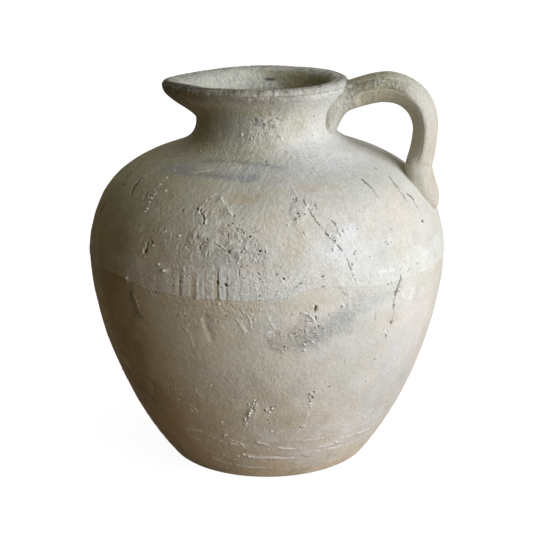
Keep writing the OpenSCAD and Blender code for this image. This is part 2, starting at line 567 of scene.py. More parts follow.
@dataclass
class Spot(Mark):
    """A mark about one place."""
    azimuth: float
    height: float

    def line(self, pot: Outline) -> np.ndarray:
        """The mark's middle."""
        return pot.at(self.azimuth, self.height)[None, :]

    def seen(self, spot: np.ndarray, pot: Outline, lean: float) -> tuple[np.ndarray, np.ndarray]:
        """Points as seen straight on from outside.

        Args:
            spot: the points, in millimetres.
            pot: what the mark is on.
            lean: degrees that the mark is turned by.

        Returns:
            How far along and how far across the leaning mark each point is from its middle.
        """
        turn, slant = math.radians(self.azimuth), math.radians(lean)
        side = np.array([math.cos(turn), math.sin(turn), 0.0])
        up = np.cross(pot.normal(self.azimuth, self.height), side)
        u, v = (spot - self.line(pot)) @ side, (spot - self.line(pot)) @ up
        c, s = math.cos(slant), math.sin(slant)
        return c * u + s * v, c * v - s * u


@dataclass
class Pit(Spot):
    """A hole left by grit or a burst lime grain; a long one is a chip or a scar."""
    size: float = 1.4
    depth: float = 1.4
    long: float = 1.0
    lean: float = 0.0
    chip: float = 0.4
    dark: float = 1.0

    def reach(self) -> float:
        """Past the chipped edge."""
        return self.size * max(1.0, self.long) * 2 + 1

    def closeness(self, spot: np.ndarray, pot: Outline) -> np.ndarray:
        """How far points are from the pit's edge."""
        return line_distance(spot, self.line(pot))[0] - self.size * (0.4 + 0.8 * self.long) - 1.3

    def work(self, skin: Skin, where: np.ndarray, line: np.ndarray, pot: Outline) -> None:
        """Sinks the pit, paints shade into its bowl and chips its edge.

        Args:
            skin: the skin to change.
            where: numbers of the places that the mark may reach.
            line: the mark's middle, as a line of one point, in millimetres; not used.
            pot: the pot's outline.
        """
        spot = skin.points[where]
        u, v = self.seen(spot, pot, self.lean)
        gap = np.hypot(u, v / self.long) / self.size
        gap = gap + 0.4 * noise(spot, 1.7, 61) + 0.25 * noise(spot, 4.0, 62)
        bowl = unit(1 - gap)
        edge = hump(gap, 1.15, 0.35) * unit(0.4 + noise(spot, 2.5, 67))
        skin.lift[where] += 0.2 * self.chip * edge - self.depth * bowl ** 0.8
        skin.darken(self.dark * unit(bowl * 2.5), where)
        skin.whiten(self.chip * edge, where)


@dataclass
class Lump(Spot):
    """A raised crumb of clay or lime."""
    size: float = 2.0
    rise: float = 0.9
    chalk: float = 0.7
    fine: float = 2.5

    def reach(self) -> float:
        """Past the crumb's foot."""
        return self.size * 2

    def work(self, skin: Skin, where: np.ndarray, line: np.ndarray, pot: Outline) -> None:
        """Raises the lump and whitens it.

        Args:
            skin: the skin to change.
            where: numbers of the places that the mark may reach.
            line: the mark's middle, as a line of one point, in millimetres.
            pot: the pot's outline; not used.
        """
        spot = skin.points[where]
        gap = np.linalg.norm(spot - line, axis=1) / self.size + 0.6 * noise(spot, 1.7, 71)
        dome = unit(1 - gap * np.abs(gap))
        skin.lift[where] += self.rise * dome
        skin.whiten(self.chalk * np.sqrt(dome), where)


@dataclass
class Patch(Spot):
    """A ragged area of the surface."""
    wide: float
    high: float

    def extent(self) -> float:
        """The patch's longer side."""
        return max(self.wide, self.high)

    def cover(self, spot: np.ndarray, pot: Outline, ragged: float, lean: float,
              grain: float = 14.0) -> np.ndarray:
        """How much of the patch lies at some points.

        Args:
            spot: the points, in millimetres.
            pot: what the patch is on.
            ragged: how far its edge strays, as a share of its size.
            lean: degrees that it is turned by.
            grain: width of the lumps along its edge.

        Returns:
            0 to 1 for each point.
        """
        u, v = self.seen(spot, pot, lean)
        gap = np.hypot(u / (self.wide / 2), v / (self.high / 2)) + ragged * layered(spot, grain, 91)
        turn = math.radians(self.azimuth)
        this_side = spot[:, 0] * math.sin(turn) - spot[:, 1] * math.cos(turn)
        return (1 - ease(0.45, 1.25, gap)) * ease(-5, 45, this_side)


@dataclass
class Stain(Patch):
    """A soft patch of another colour, with ragged edges; it may be rough as well."""
    colour: Clay
    amount: float = 0.6
    ragged: float = 0.5
    lean: float = 0.0
    rough: float = 0.0
    grain: float = 14.0
    refines: ClassVar[bool] = False

    def reach(self) -> float:
        """Past the ragged edge."""
        return self.extent() * 1.15

    def work(self, skin: Skin, where: np.ndarray, line: np.ndarray, pot: Outline) -> None:
        """Rubs the colour in.

        Args:
            skin: the skin to change.
            where: numbers of the places that the mark may reach.
            line: the mark's middle, as a line of one point, in millimetres; not used.
            pot: the pot's outline.
        """
        share = self.cover(skin.points[where], pot, self.ragged, self.lean, self.grain)
        skin.stain(self.colour, self.amount * share, where)
        skin.roughen(self.rough * share, where)


@dataclass
class TornPatch(Patch):
    """Skin of the clay that was pulled off or pushed up while it was soft."""
    rise: float = 0.9
    lean: float = 0.0
    rough: float = 0.45
    spread: float = 1.0
    ragged: ClassVar[float] = 0.7

    def reach(self) -> float:
        """Past the ragged edge."""
        return self.extent() * 1.05

    def closeness(self, spot: np.ndarray, pot: Outline) -> np.ndarray:
        """The same distance all over the patch, where the mesh is finer."""
        return np.where(self.cover(spot, pot, self.ragged, self.lean) > 0.2, self.spread, FAR)

    def work(self, skin: Skin, where: np.ndarray, line: np.ndarray, pot: Outline) -> None:
        """Leaves thin plates with broken edges, and a few crumbs and pinholes on them, with painted shade in
        the pinholes.

        Args:
            skin: the skin to change.
            where: numbers of the places that the mark may reach.
            line: the mark's middle, as a line of one point, in millimetres; not used.
            pot: the pot's outline.
        """
        spot = skin.points[where]
        share = self.cover(spot, pot, self.ragged, self.lean)
        sheet = layered(spot, 13.0, 101)
        plate = ease(-0.08, 0.08, sheet)
        edge = hump(sheet, 0.1, 0.07) * unit(0.3 + noise(spot, 8, 106))
        crumbs = unit(layered(spot, 3.4, 103) - 0.12)
        holes = ease(0.3, 0.6, -layered(spot, 3.0, 105)) * unit(noise(spot, 12, 107) + 0.4)
        skin.lift[where] += share * self.rise * (0.4 * plate + 0.5 * edge + 0.9 * crumbs - 0.7 * holes)
        skin.roughen(self.rough * share, where)
        skin.whiten(share * np.clip(0.5 * edge + 0.8 * crumbs, 0, 0.8), where)
        skin.darken(0.3 * share * holes, where)


# ---------------------------------------------------------------- weathering of the whole pot

@dataclass
class Weathering:
    """Everything that shaping, drying, firing and age left on the pot's outside, with some painted shade among
    its stains and in its hollows.
    """
    pot: Outline
    seed: int = 7

    def __post_init__(self) -> None:
        """Gathers the marks: those listed, and the small ones found all round."""
        self.marks: list[Mark] = [
            *self.stains(), *self.torn_skin(), *self.cracks(), *self.scars(), *self.scores(),
            *self.flaked(), *self.scattered()]

    def stains(self) -> list[Mark]:
        """Soft patches of wash, smoke and bare clay; some of them are painted shade, as marked in the table.

        Returns:
            The stains, in the order in which they are rubbed in.
        """
        rows = (  # azimuth, height, width and height of the patch, colour, amount, ragged, lean, rough, grain
            # painted shade: the olive patch at -64 and the brown patches at -66, -72, -44 and -40 darken and
            # warm the side away from the lamp
            (-64, 236, 330, 330, Clay.OLIVE, 0.65, 0.25), (-66, 70, 150, 190, Clay.UMBER, 0.5, 0.4),
            (-72, 206, 110, 130, Clay.UMBER, 0.32, 0.4), (-44, 168, 76, 170, Clay.UMBER, 0.46, 0.5),
            (-40, 66, 84, 100, Clay.UMBER, 0.42, 0.5), (-22, 160, 150, 230, Clay.EARTH, 0.4, 0.5),
            # painted shade: the olive patch at -20 and 340, the bare-clay patches at 351 and 348 and the smoke
            # patch at -14 and 340 darken the neck's left half and the collar under the lip
            (40, 44, 170, 80, Clay.LIME, 0.42, 0.6), (-20, 340, 120, 60, Clay.OLIVE, 0.5, 0.5),
            (-16, 351, 90, 20, Clay.BARE, 0.35, 0.6, 0, 0.2), (-60, 348, 60, 24, Clay.BARE, 0.35, 0.6),
            (-14, 340, 90, 44, Clay.SMOKE, 0.24, 0.5), (62, 84, 100, 150, Clay.GREY, 0.5, 0.5),
            (2, 343, 34, 30, Clay.GREY, 0.3, 0.8, 0, 0.4),
            (-14, 340, 34, 40, Clay.BLUE_GREY, 0.22, 0.9, 40, 0.3),
            (-12, 309, 120, 24, Clay.GREY, 0.35, 0.7, -2, 0.2, 22),
            (-38, 306, 60, 18, Clay.BLUE_GREY, 0.45, 0.8, 4, 0.2),
            (20, 311, 80, 16, Clay.GREY, 0.35, 0.9, 0, 0.2, 22),
            (-8, 314.5, 92, 7, Clay.SMOKE, 0.6, 0.9, -1, 0.2, 14),
            (-14, 305.5, 66, 10, Clay.SMOKE, 0.62, 0.8, -1, 0.2, 14),
            (-2, 306, 46, 13, Clay.BLUE_GREY, 0.55, 0.8, -4), (2, 292, 44, 14, Clay.OCHRE, 0.5, 0.8),
            (-30, 293, 44, 16, Clay.OCHRE, 0.3, 0.9, -6), (30, 298, 60, 16, Clay.OCHRE, 0.4, 0.9),
            (10, 272, 44, 34, Clay.OCHRE, 0.2, 0.9), (28, 291, 14, 7, Clay.LIME, 0.5, 0.7, -30),
            (54, 312, 110, 36, Clay.LIME, 0.6, 0.6), (60, 272, 80, 60, Clay.PEACH, 0.4, 0.6),
            (44, 286, 60, 30, Clay.CREAM, 0.5, 0.7), (-9.5, 283, 13, 22, Clay.PEACH, 0.5, 0.5, 8),
            (-4.5, 282, 9, 13, Clay.BARE, 0.3, 0.6, -20), (6, 254, 40, 26, Clay.GREY, 0.3, 0.9, -20),
            (-30, 262, 60, 36, Clay.OCHRE, 0.2, 0.9), (37, 262, 24, 20, Clay.LIME, 0.75, 0.4, -30),
            (35, 249, 56, 36, Clay.LIME, 0.55, 0.6, -10), (-6, 246, 70, 34, Clay.GREY, 0.25, 0.8, 0, 0.25),
            (-2, 200, 120, 22, Clay.OCHRE, 0.35, 0.8, 0, 0.2), (22, 205, 50, 20, Clay.OCHRE, 0.3, 0.7),
            (20, 172, 54, 22, Clay.SMOKE, 0.26, 1.0, 12, 0.5, 9),
            (27, 178, 88, 34, Clay.SMOKE, 0.22, 1.0, 18, 0.4, 12),
            (31, 181, 74, 24, Clay.BLUE_GREY, 0.32, 0.9, 22, 0.4),
            (42, 194, 50, 26, Clay.GREY, 0.4, 0.9, 28, 0.3), (10, 186, 34, 30, Clay.GREY, 0.25, 0.9),
            (62, 150, 70, 110, Clay.LIME, 0.35, 0.6), (40, 130, 120, 120, Clay.GREY, 0.3, 0.7),
            (-26, 50, 120, 80, Clay.EARTH, 0.5, 0.5), (-35.2, 204, 5, 16, Clay.SOOT, 0.35, 1.0, 2, 0.6, 6),
            (-34.4, 190, 8, 24, Clay.SOOT, 0.45, 1.0, 4, 0.7, 6),
            (-33.6, 180, 16, 10, Clay.SOOT, 0.35, 1.0, 0, 0.7, 6),
            (-37, 130, 14, 80, Clay.SOOT, 0.2, 1.0, 2, 0.2), (-18, 66, 60, 24, Clay.OCHRE, 0.4, 0.8),
            (20, 46, 90, 22, Clay.OCHRE, 0.3, 0.8), (-14, 95, 44, 26, Clay.OCHRE, 0.25, 0.8),
            (6, 122, 80, 40, Clay.GREY, 0.2, 0.9, 0, 0.2), (140, 300, 130, 24, Clay.SMOKE, 0.4, 0.8, 3),
            (165, 170, 90, 60, Clay.SMOKE, 0.35, 0.9, 15, 0.5), (215, 235, 80, 60, Clay.LIME, 0.5, 0.7, -10),
            (250, 120, 90, 50, Clay.OCHRE, 0.35, 0.8), (128, 90, 80, 40, Clay.OCHRE, 0.35, 0.8),
            (185, 300, 90, 30, Clay.OCHRE, 0.35, 0.8))
        return [Stain(*row) for row in rows]

    def torn_skin(self) -> list[Mark]:
        """Patches where the skin of the clay came away.

        Returns:
            The torn patches.
        """
        rows = (  # azimuth, height, width and height of the patch, rise, lean, roughness, closeness
            (-8, 280, 34, 34, 0.7, 0, 0.35, -0.5), (2, 266, 44, 16, 1.1, -28, 0.45, -0.5),
            (3, 250, 50, 24, 1.0, -12, 0.45, -0.5), (-10, 258, 30, 22, 0.8, 0, 0.5),
            (21, 284, 14, 30, 0.45, -12), (31, 262, 16, 40, 0.25, -14, 0.3), (23, 176, 34, 22, 0.6, 12, 0.7),
            (23, 190, 9, 14, 0.5), (12, 347, 36, 13, 1.1, 0, 0.9, -0.5), (8, 333, 40, 12, 0.4, 0, 0.5),
            (-34, 206, 10, 14, 0.5), (4, 92, 10, 26, 0.3, -14), (10.4, 94, 9, 8, 0.7),
            (-9, 190, 46, 26, 0.2, 0, 0.2), (170, 262, 60, 40, 0.8, 20), (238, 180, 44, 30, 0.6),
            (205, 110, 40, 30, 0.5))
        return [TornPatch(*row) for row in rows]

    def cracks(self) -> list[Mark]:
        """Drying cracks.

        Returns:
            The cracks.
        """
        rows = (  # width, depth, jag, lips, darkness, then the places
            (0.95, 1.2, 0.9, 0.3, 0.85, (23.6, 293), (24.2, 287), (24.9, 282.5), (25.7, 277), (27, 272),
             (28, 267), (29.8, 260), (31.3, 257), (32.8, 250), (34.2, 242), (35.3, 233), (35.9, 227)),
            (1.4, 1.8, 0.5, 0.8, 0.95, (24, 290.5), (24.2, 287), (24.6, 284.5)),
            (1.0, 1.4, 0.8, 0.6, 0.8, (25.7, 277), (27, 272), (27.6, 268.5)),
            (1.1, 1.6, 0.6, 0.3, 0.95, (28.4, 265.5), (29, 263), (29.6, 261)),
            (0.8, 0.8, 0.8, 0.4, 0.5, (35.7, 229), (36.8, 220), (37.3, 211)),
            (1.0, 1.0, 0.5, 0.3, 0.5, (27.6, 289), (27.8, 285), (28.3, 281.5)),
            (1.1, 1.2, 0.7, 0.4, 0.6, (31.2, 275), (32.3, 271.5), (32.8, 267), (33.4, 262), (33.4, 257)),
            (1.4, 1.2, 0.4, 0.5, 0.75, (34.2, 266.5), (35.2, 261.5)),
            (1.0, 1.2, 0.8, 0.5, 0.7, (30, 252.5), (30.5, 247)),
            (1.0, 1.0, 0.7, 0.4, 0.55, (30.4, 242), (31.3, 238), (31.8, 234)),
            (1.2, 1.2, 0.5, 0.7, 0.65, (20.8, 294), (21.6, 289)),
            (1.0, 0.8, 0.7, 0.9, 0.5, (21.2, 268), (22.4, 262.5)),
            (2.0, 1.8, 0.6, 0.5, 0.9, (53.9, 299), (54.3, 291), (53.9, 287.5)),
            (2.2, 1.6, 0.3, 0.9, 0.95, (53.8, 299.5), (54.1, 296.5)),
            (0.9, 1.0, 0.5, 0.4, 0.45, (53.9, 288), (54.1, 282)),
            (1.0, 1.0, 0.5, 1.0, 0.45, (52.4, 303), (52.2, 299)),
            (2.6, 1.2, 0.4, 0.4, 0.9, (69.6, 303), (69.3, 299.5)),
            (2.4, 1.2, 0.8, 0.3, 0.75, (70.7, 296), (68.8, 291), (67.8, 287), (67.5, 282), (67.7, 274)),
            (2.6, 1.6, 0.9, 0.4, 0.95, (70.8, 282.5), (71.3, 279), (72.3, 276), (72, 270), (72.5, 265),
             (72.5, 260)),
            (2.6, 2.0, 1.4, 0.6, 0.95, (54.2, 217), (53.8, 210), (53, 205), (52.2, 199), (51.6, 190),
             (51.8, 183)), (3.4, 2.6, 1.2, 0.6, 1.0, (54, 214), (53.8, 210), (53.4, 206)),
            (3.8, 2.4, 1.2, 0.5, 1.0, (52.6, 204), (51.9, 192)),
            (1.3, 0.8, 0.9, 0.4, 0.6, (51.8, 186), (51.6, 173)),
            (2.9, 1.8, 1.0, 0.6, 0.95, (51.6, 174), (51.9, 166)),
            (1.7, 1.4, 0.5, 0.8, 0.75, (49.9, 160), (50.3, 153)),
            (1.8, 1.6, 0.6, 0.0, 0.95, (-29.9, 252), (-29.8, 245), (-30.4, 239)),
            (2.6, 2.0, 0.5, 0.0, 0.95, (-29.9, 246), (-30.3, 240)),
            (1.2, 1.0, 0.6, 0.2, 0.7, (-30.4, 240), (-31.4, 236.5)),
            (1.4, 1.2, 0.4, 0.3, 0.9, (-17.9, 255), (-17.7, 250)),
            (1.1, 1.0, 0.6, 0.6, 0.65, (-17.3, 239), (-16.7, 233.5)),
            (1.5, 1.3, 1.9, 0.9, 0.75, (-13.2, 283.5), (-12.4, 281), (-11.3, 277.5), (-10.9, 273.5),
             (-10.8, 270.5)), (2.2, 1.8, 1.0, 0.9, 0.95, (-13.3, 284), (-12.3, 281)),
            (1.0, 0.9, 1.8, 0.7, 0.55, (-10.9, 271), (-12, 267), (-12.7, 262), (-13.3, 256)),
            (0.8, 0.6, 1.8, 1.0, 0.4, (-6.5, 259), (-4.6, 255), (-2.3, 250)),
            (2.1, 1.6, 0.4, 0.9, 0.9, (-1.7, 254), (-1.1, 249)),
            (1.7, 1.4, 0.5, 0.8, 0.8, (-7.9, 251), (-8.2, 245)),
            (1.4, 1.2, 0.6, 0.8, 0.6, (-9.9, 257), (-11, 254), (-10.4, 250.5)),
            (1.2, 1.0, 0.5, 0.3, 0.65, (1.9, 237), (1.8, 228)),
            (2.3, 2.4, 0.5, 0.3, 1.0, (23.7, 202.5), (24.2, 198.5), (23.6, 194)),
            (2.1, 2.2, 0.5, 0.3, 1.0, (23.7, 193), (24.3, 186)),
            (1.4, 1.0, 0.6, 0.7, 0.75, (14.4, 161.5), (15, 157)),
            (1.0, 0.6, 0.4, 0.2, 0.4, (44.2, 186), (44.5, 173)),
            (0.8, 0.5, 0.3, 0.7, 0.4, (32, 215), (33.6, 205)),
            (0.8, 0.5, 0.3, 0.7, 0.4, (33, 216), (34.4, 204)), (0.8, 0.5, 0.3, 0.7, 0.4, (37, 213), (38, 204)),
            (1.3, 1.0, 0.4, 0.4, 0.7, (-5.3, 191), (-5.1, 185)),
            (1.6, 0.8, 0.7, 0.5, 0.65, (-5.2, 200.5), (-3.8, 197)),
            (1.3, 0.7, 0.7, 0.3, 0.4, (-16.7, 231), (-16.5, 208.5)),
            (1.7, 1.4, 0.4, 0.8, 0.9, (-16.6, 220), (-16.5, 215.5)),
            (1.5, 0.7, 0.8, 0.2, 0.4, (-4.3, 236), (-4.6, 226), (-4.3, 209)),
            (2.5, 2.0, 0.4, 0.5, 1.0, (-4.7, 228), (-4.3, 220.5)),
            (1.0, 0.6, 0.7, 0.2, 0.5, (-1.9, 217), (-1.6, 209)),
            (3.0, 1.4, 1.0, 0.2, 0.9, (-53, 296.5), (-51.5, 292.5), (-50.8, 289), (-49.6, 286.5),
             (-47.8, 283)), (3.0, 0.8, 0.8, 0.1, 0.6, (-69.8, 301), (-67, 297.5), (-65.9, 293.5), (-63, 289)),
            (2.6, 1.0, 0.3, 0.1, 0.8, (-60.8, 286), (-57.8, 287)),
            (1.8, 1.0, 0.6, 0.3, 0.7, (-40.8, 290), (-40, 286), (-39.4, 282)),
            (2.8, 0.8, 0.6, 0.1, 0.65, (-64, 268), (-63.9, 257)),
            (2.4, 0.8, 0.5, 0.1, 0.6, (-61, 276), (-63.6, 270)),
            (1.6, 1.2, 0.8, 1.0, 0.85, (-27.3, 209), (-25.5, 203)),
            (1.5, 1.2, 0.8, 1.0, 0.8, (-26.2, 209), (-24.3, 204)),
            (1.2, 0.8, 1.6, 0.2, 0.75, (-35.4, 211), (-35, 203.5)),
            (1.6, 0.8, 1.6, 0.2, 0.8, (-34.9, 202), (-34.2, 195.5)),
            (1.8, 0.8, 1.8, 0.2, 0.75, (-34.4, 194.5), (-34.7, 187)),
            (1.5, 0.8, 1.6, 0.2, 0.7, (-34.2, 186), (-32.8, 180)),
            (1.2, 0.8, 1.6, 0.2, 0.6, (-36.2, 200), (-35.6, 190)),
            (1.3, 1.0, 0.3, 0.3, 0.8, (0.6, 352.5), (1, 348)),
            (1.1, 1.0, 0.3, 0.5, 0.75, (5, 351), (5.4, 348)),
            (1.1, 1.0, 0.3, 0.5, 0.75, (12.1, 347), (12.7, 344)),
            (1.3, 1.0, 0.3, 0.6, 0.8, (14.3, 351.5), (15, 346.5)),
            (1.3, 1.0, 0.3, 0.4, 0.85, (21.1, 350), (20.5, 345.5)),
            (1.0, 1.0, 0.3, 0.6, 0.7, (18, 350.5), (18.6, 347)),
            (1.7, 1.2, 0.4, 0.9, 0.85, (0.9, 335.5), (0.4, 330.5)),
            (1.5, 1.2, 0.4, 0.9, 0.85, (18.8, 336), (21.8, 332.5)),
            (1.6, 1.2, 0.3, 0.9, 0.8, (-15.6, 323.5), (-17.8, 319.5)),
            (1.0, 0.8, 0.3, 0.3, 0.5, (51.1, 334), (52.3, 330)),
            (2.4, 1.8, 0.4, 0.4, 1.0, (25.7, 112.5), (24.8, 108.5)),
            (1.0, 1.0, 0.8, 1.0, 0.55, (5.7, 105), (5.1, 99), (4, 92.5), (3.2, 86)),
            (1.2, 1.0, 0.8, 1.0, 0.55, (2, 84.5), (0.7, 74)),
            (1.1, 0.8, 0.6, 0.6, 0.5, (-8.3, 77), (-7.9, 70)),
            (1.4, 1.8, 1.6, 0.5, 0.8, (118, 270), (124, 252), (122, 236), (130, 214)),
            (1.5, 1.8, 1.6, 0.5, 0.8, (150, 200), (156, 170), (153, 150)),
            (1.3, 1.6, 1.6, 0.5, 0.8, (205, 292), (211, 276), (209, 262)),
            (1.6, 2.0, 1.6, 0.5, 0.8, (262, 232), (256, 205), (259, 176), (255, 150)),
            (1.2, 1.4, 1.6, 0.5, 0.8, (295, 150), (291, 122)), (1.1, 1.3, 1.6, 0.5, 0.8, (180, 120), (184, 96)))
        return [Crack(list(row[5:]), *row[:5]) for row in rows]

    def scars(self) -> list[Mark]:
        """Chips, scars, burst grains and crumbs.

        Returns:
            The chips, pits and lumps.
        """
        holes = (  # azimuth, height, size
            (14.8, 228.3, 1.25), (19.6, 223, 1.1), (19.2, 216.5, 0.8), (-2.1, 222.3, 1.1), (8, 252.3, 1.0),
            (4.9, 264, 1.1), (2.9, 266.5, 0.7), (1.9, 269.5, 0.7), (1.3, 273, 0.7), (-1.2, 274, 0.6),
            (-2.5, 272.5, 0.7), (-8.8, 260.5, 0.9), (-4.6, 255.5, 0.6), (3.7, 252, 0.6), (2.4, 251, 0.7),
            (1.3, 245, 0.8), (7.7, 245, 0.6), (2.2, 238.7, 0.9), (3.1, 228.5, 0.6), (7.8, 228.3, 0.75),
            (1.8, 216.5, 0.6), (7.6, 213, 0.9), (26.5, 227.5, 0.8), (26.5, 218.5, 0.7), (50, 211.3, 0.8),
            (48.8, 210, 0.9), (53.3, 258, 1.1), (49.6, 248, 0.6), (79.8, 220.7, 0.7), (71.9, 254, 2.5),
            (51.2, 307, 0.8), (61.5, 311, 0.8), (-5, 284.5, 0.9), (-3.6, 281, 0.6), (-1, 280, 0.7),
            (-11.6, 291, 0.7), (-12.5, 286.5, 0.8), (-14.4, 283.5, 1.1), (2.5, 352.5, 0.6), (4.9, 347, 0.7),
            (9.3, 346.3, 0.7), (16.5, 345, 0.7), (19.7, 352.5, 0.7), (10.3, 315, 0.9), (30, 313, 0.6),
            (53, 351, 0.9), (51.6, 344, 0.7), (-28.1, 251.5, 0.9), (-31.5, 178, 1.0), (25, 181.5, 0.8),
            (21.3, 166, 0.8), (14.8, 162.5, 0.8), (34, 197.5, 1.0), (19.9, 277, 0.9), (20.6, 281, 1.0),
            (20.9, 278.6, 0.8), (22.9, 280, 0.9), (10.4, 96, 1.0), (11.9, 97, 0.9), (10.6, 93, 0.8),
            (9.4, 91.4, 0.7), (6.7, 80.5, 0.7), (9.3, 80.5, 0.7), (25, 105, 1.1), (24.2, 100.5, 1.0),
            (21.9, 69, 1.0), (-6.4, 94, 0.8), (-8.6, 118, 0.8), (53.5, 200, 0.8), (67, 233, 0.6),
            (-7.2, 297, 0.6), (-20, 281, 0.7))
        crumbs = (  # azimuth, height, size
            (-13.3, 283.8, 1.7), (-1.2, 332.5, 1.8), (-2.2, 339, 1.2), (22.9, 332.6, 1.4), (-8.9, 336, 0.9),
            (8.7, 336, 0.8), (4.6, 356, 0.9), (7.8, 356, 0.9), (12.6, 355, 0.9), (10.8, 345, 0.9),
            (17.6, 348, 1.0), (-17.6, 319, 1.1), (-36, 285, 1.1), (-35.7, 282, 1.0), (-35, 277, 1.5),
            (-35.1, 274.6, 1.1), (-37.8, 300, 0.9), (-38.2, 298, 0.8), (-37.5, 295, 0.9), (-37.6, 291, 0.8),
            (-36.3, 288, 0.8), (-31.9, 292, 1.0), (-39, 305, 0.8), (-27.4, 249, 0.9), (-18.5, 261, 1.0),
            (-24.2, 233.5, 1.3), (-22, 229, 2.3), (21.2, 163, 1.7), (22.2, 163.5, 1.2), (23.7, 165.5, 1.1),
            (21, 158, 1.4), (24.3, 180.5, 1.1), (50.5, 163, 1.2), (32.8, 198, 1.2), (-4.2, 204, 1.5),
            (-9.5, 118.7, 1.1), (-8, 59.5, 2.0), (9.2, 93, 1.4), (10.2, 90.8, 1.3), (11, 94.4, 1.2),
            (8.8, 95, 1.0), (6.4, 79.5, 0.9), (9, 79.4, 0.9), (24.3, 109.8, 1.9), (24.2, 105.5, 1.6),
            (24.5, 98, 1.2), (24.7, 94.5, 1.0), (22.5, 71.5, 1.3), (23.6, 71, 1.0), (-8, 75.8, 1.0),
            (1.2, 82, 1.6), (1.5, 77.5, 1.3), (5.2, 104.5, 1.2), (4.9, 101, 1.5), (4.3, 97.5, 1.2),
            (3.7, 93, 1.5), (3.1, 89.5, 1.3), (2.7, 86.5, 1.2), (1.3, 79.5, 1.2), (1, 76, 1.3),
            (-1.6, 35, 1.3), (0.6, 33, 1.1), (43, 46, 1.0), (43.6, 51, 0.9), (40.3, 42, 1.2), (48, 91, 0.9),
            (47.4, 82, 0.9), (46.7, 73, 0.9), (57.2, 60, 0.9), (17, 272.5, 0.8), (20, 276, 1.3),
            (21.8, 282.5, 1.2), (53.1, 256.5, 1.0), (51.9, 308, 0.9), (62, 309.5, 1.0), (62.7, 307, 0.9))
        pits = [Pit(azimuth, height, size, 1.3 * size, 1.0 + 0.2 * (i % 4), 35 * (i % 5) - 60, 0.5, 0.95)
                for i, (azimuth, height, size) in enumerate(holes)]
        lumps = [Lump(azimuth, height, size, 0.45 + size * (0.75 if azimuth < -15 else 0.5), 1.0)
                 for azimuth, height, size in crumbs]
        return [*pits, *lumps]

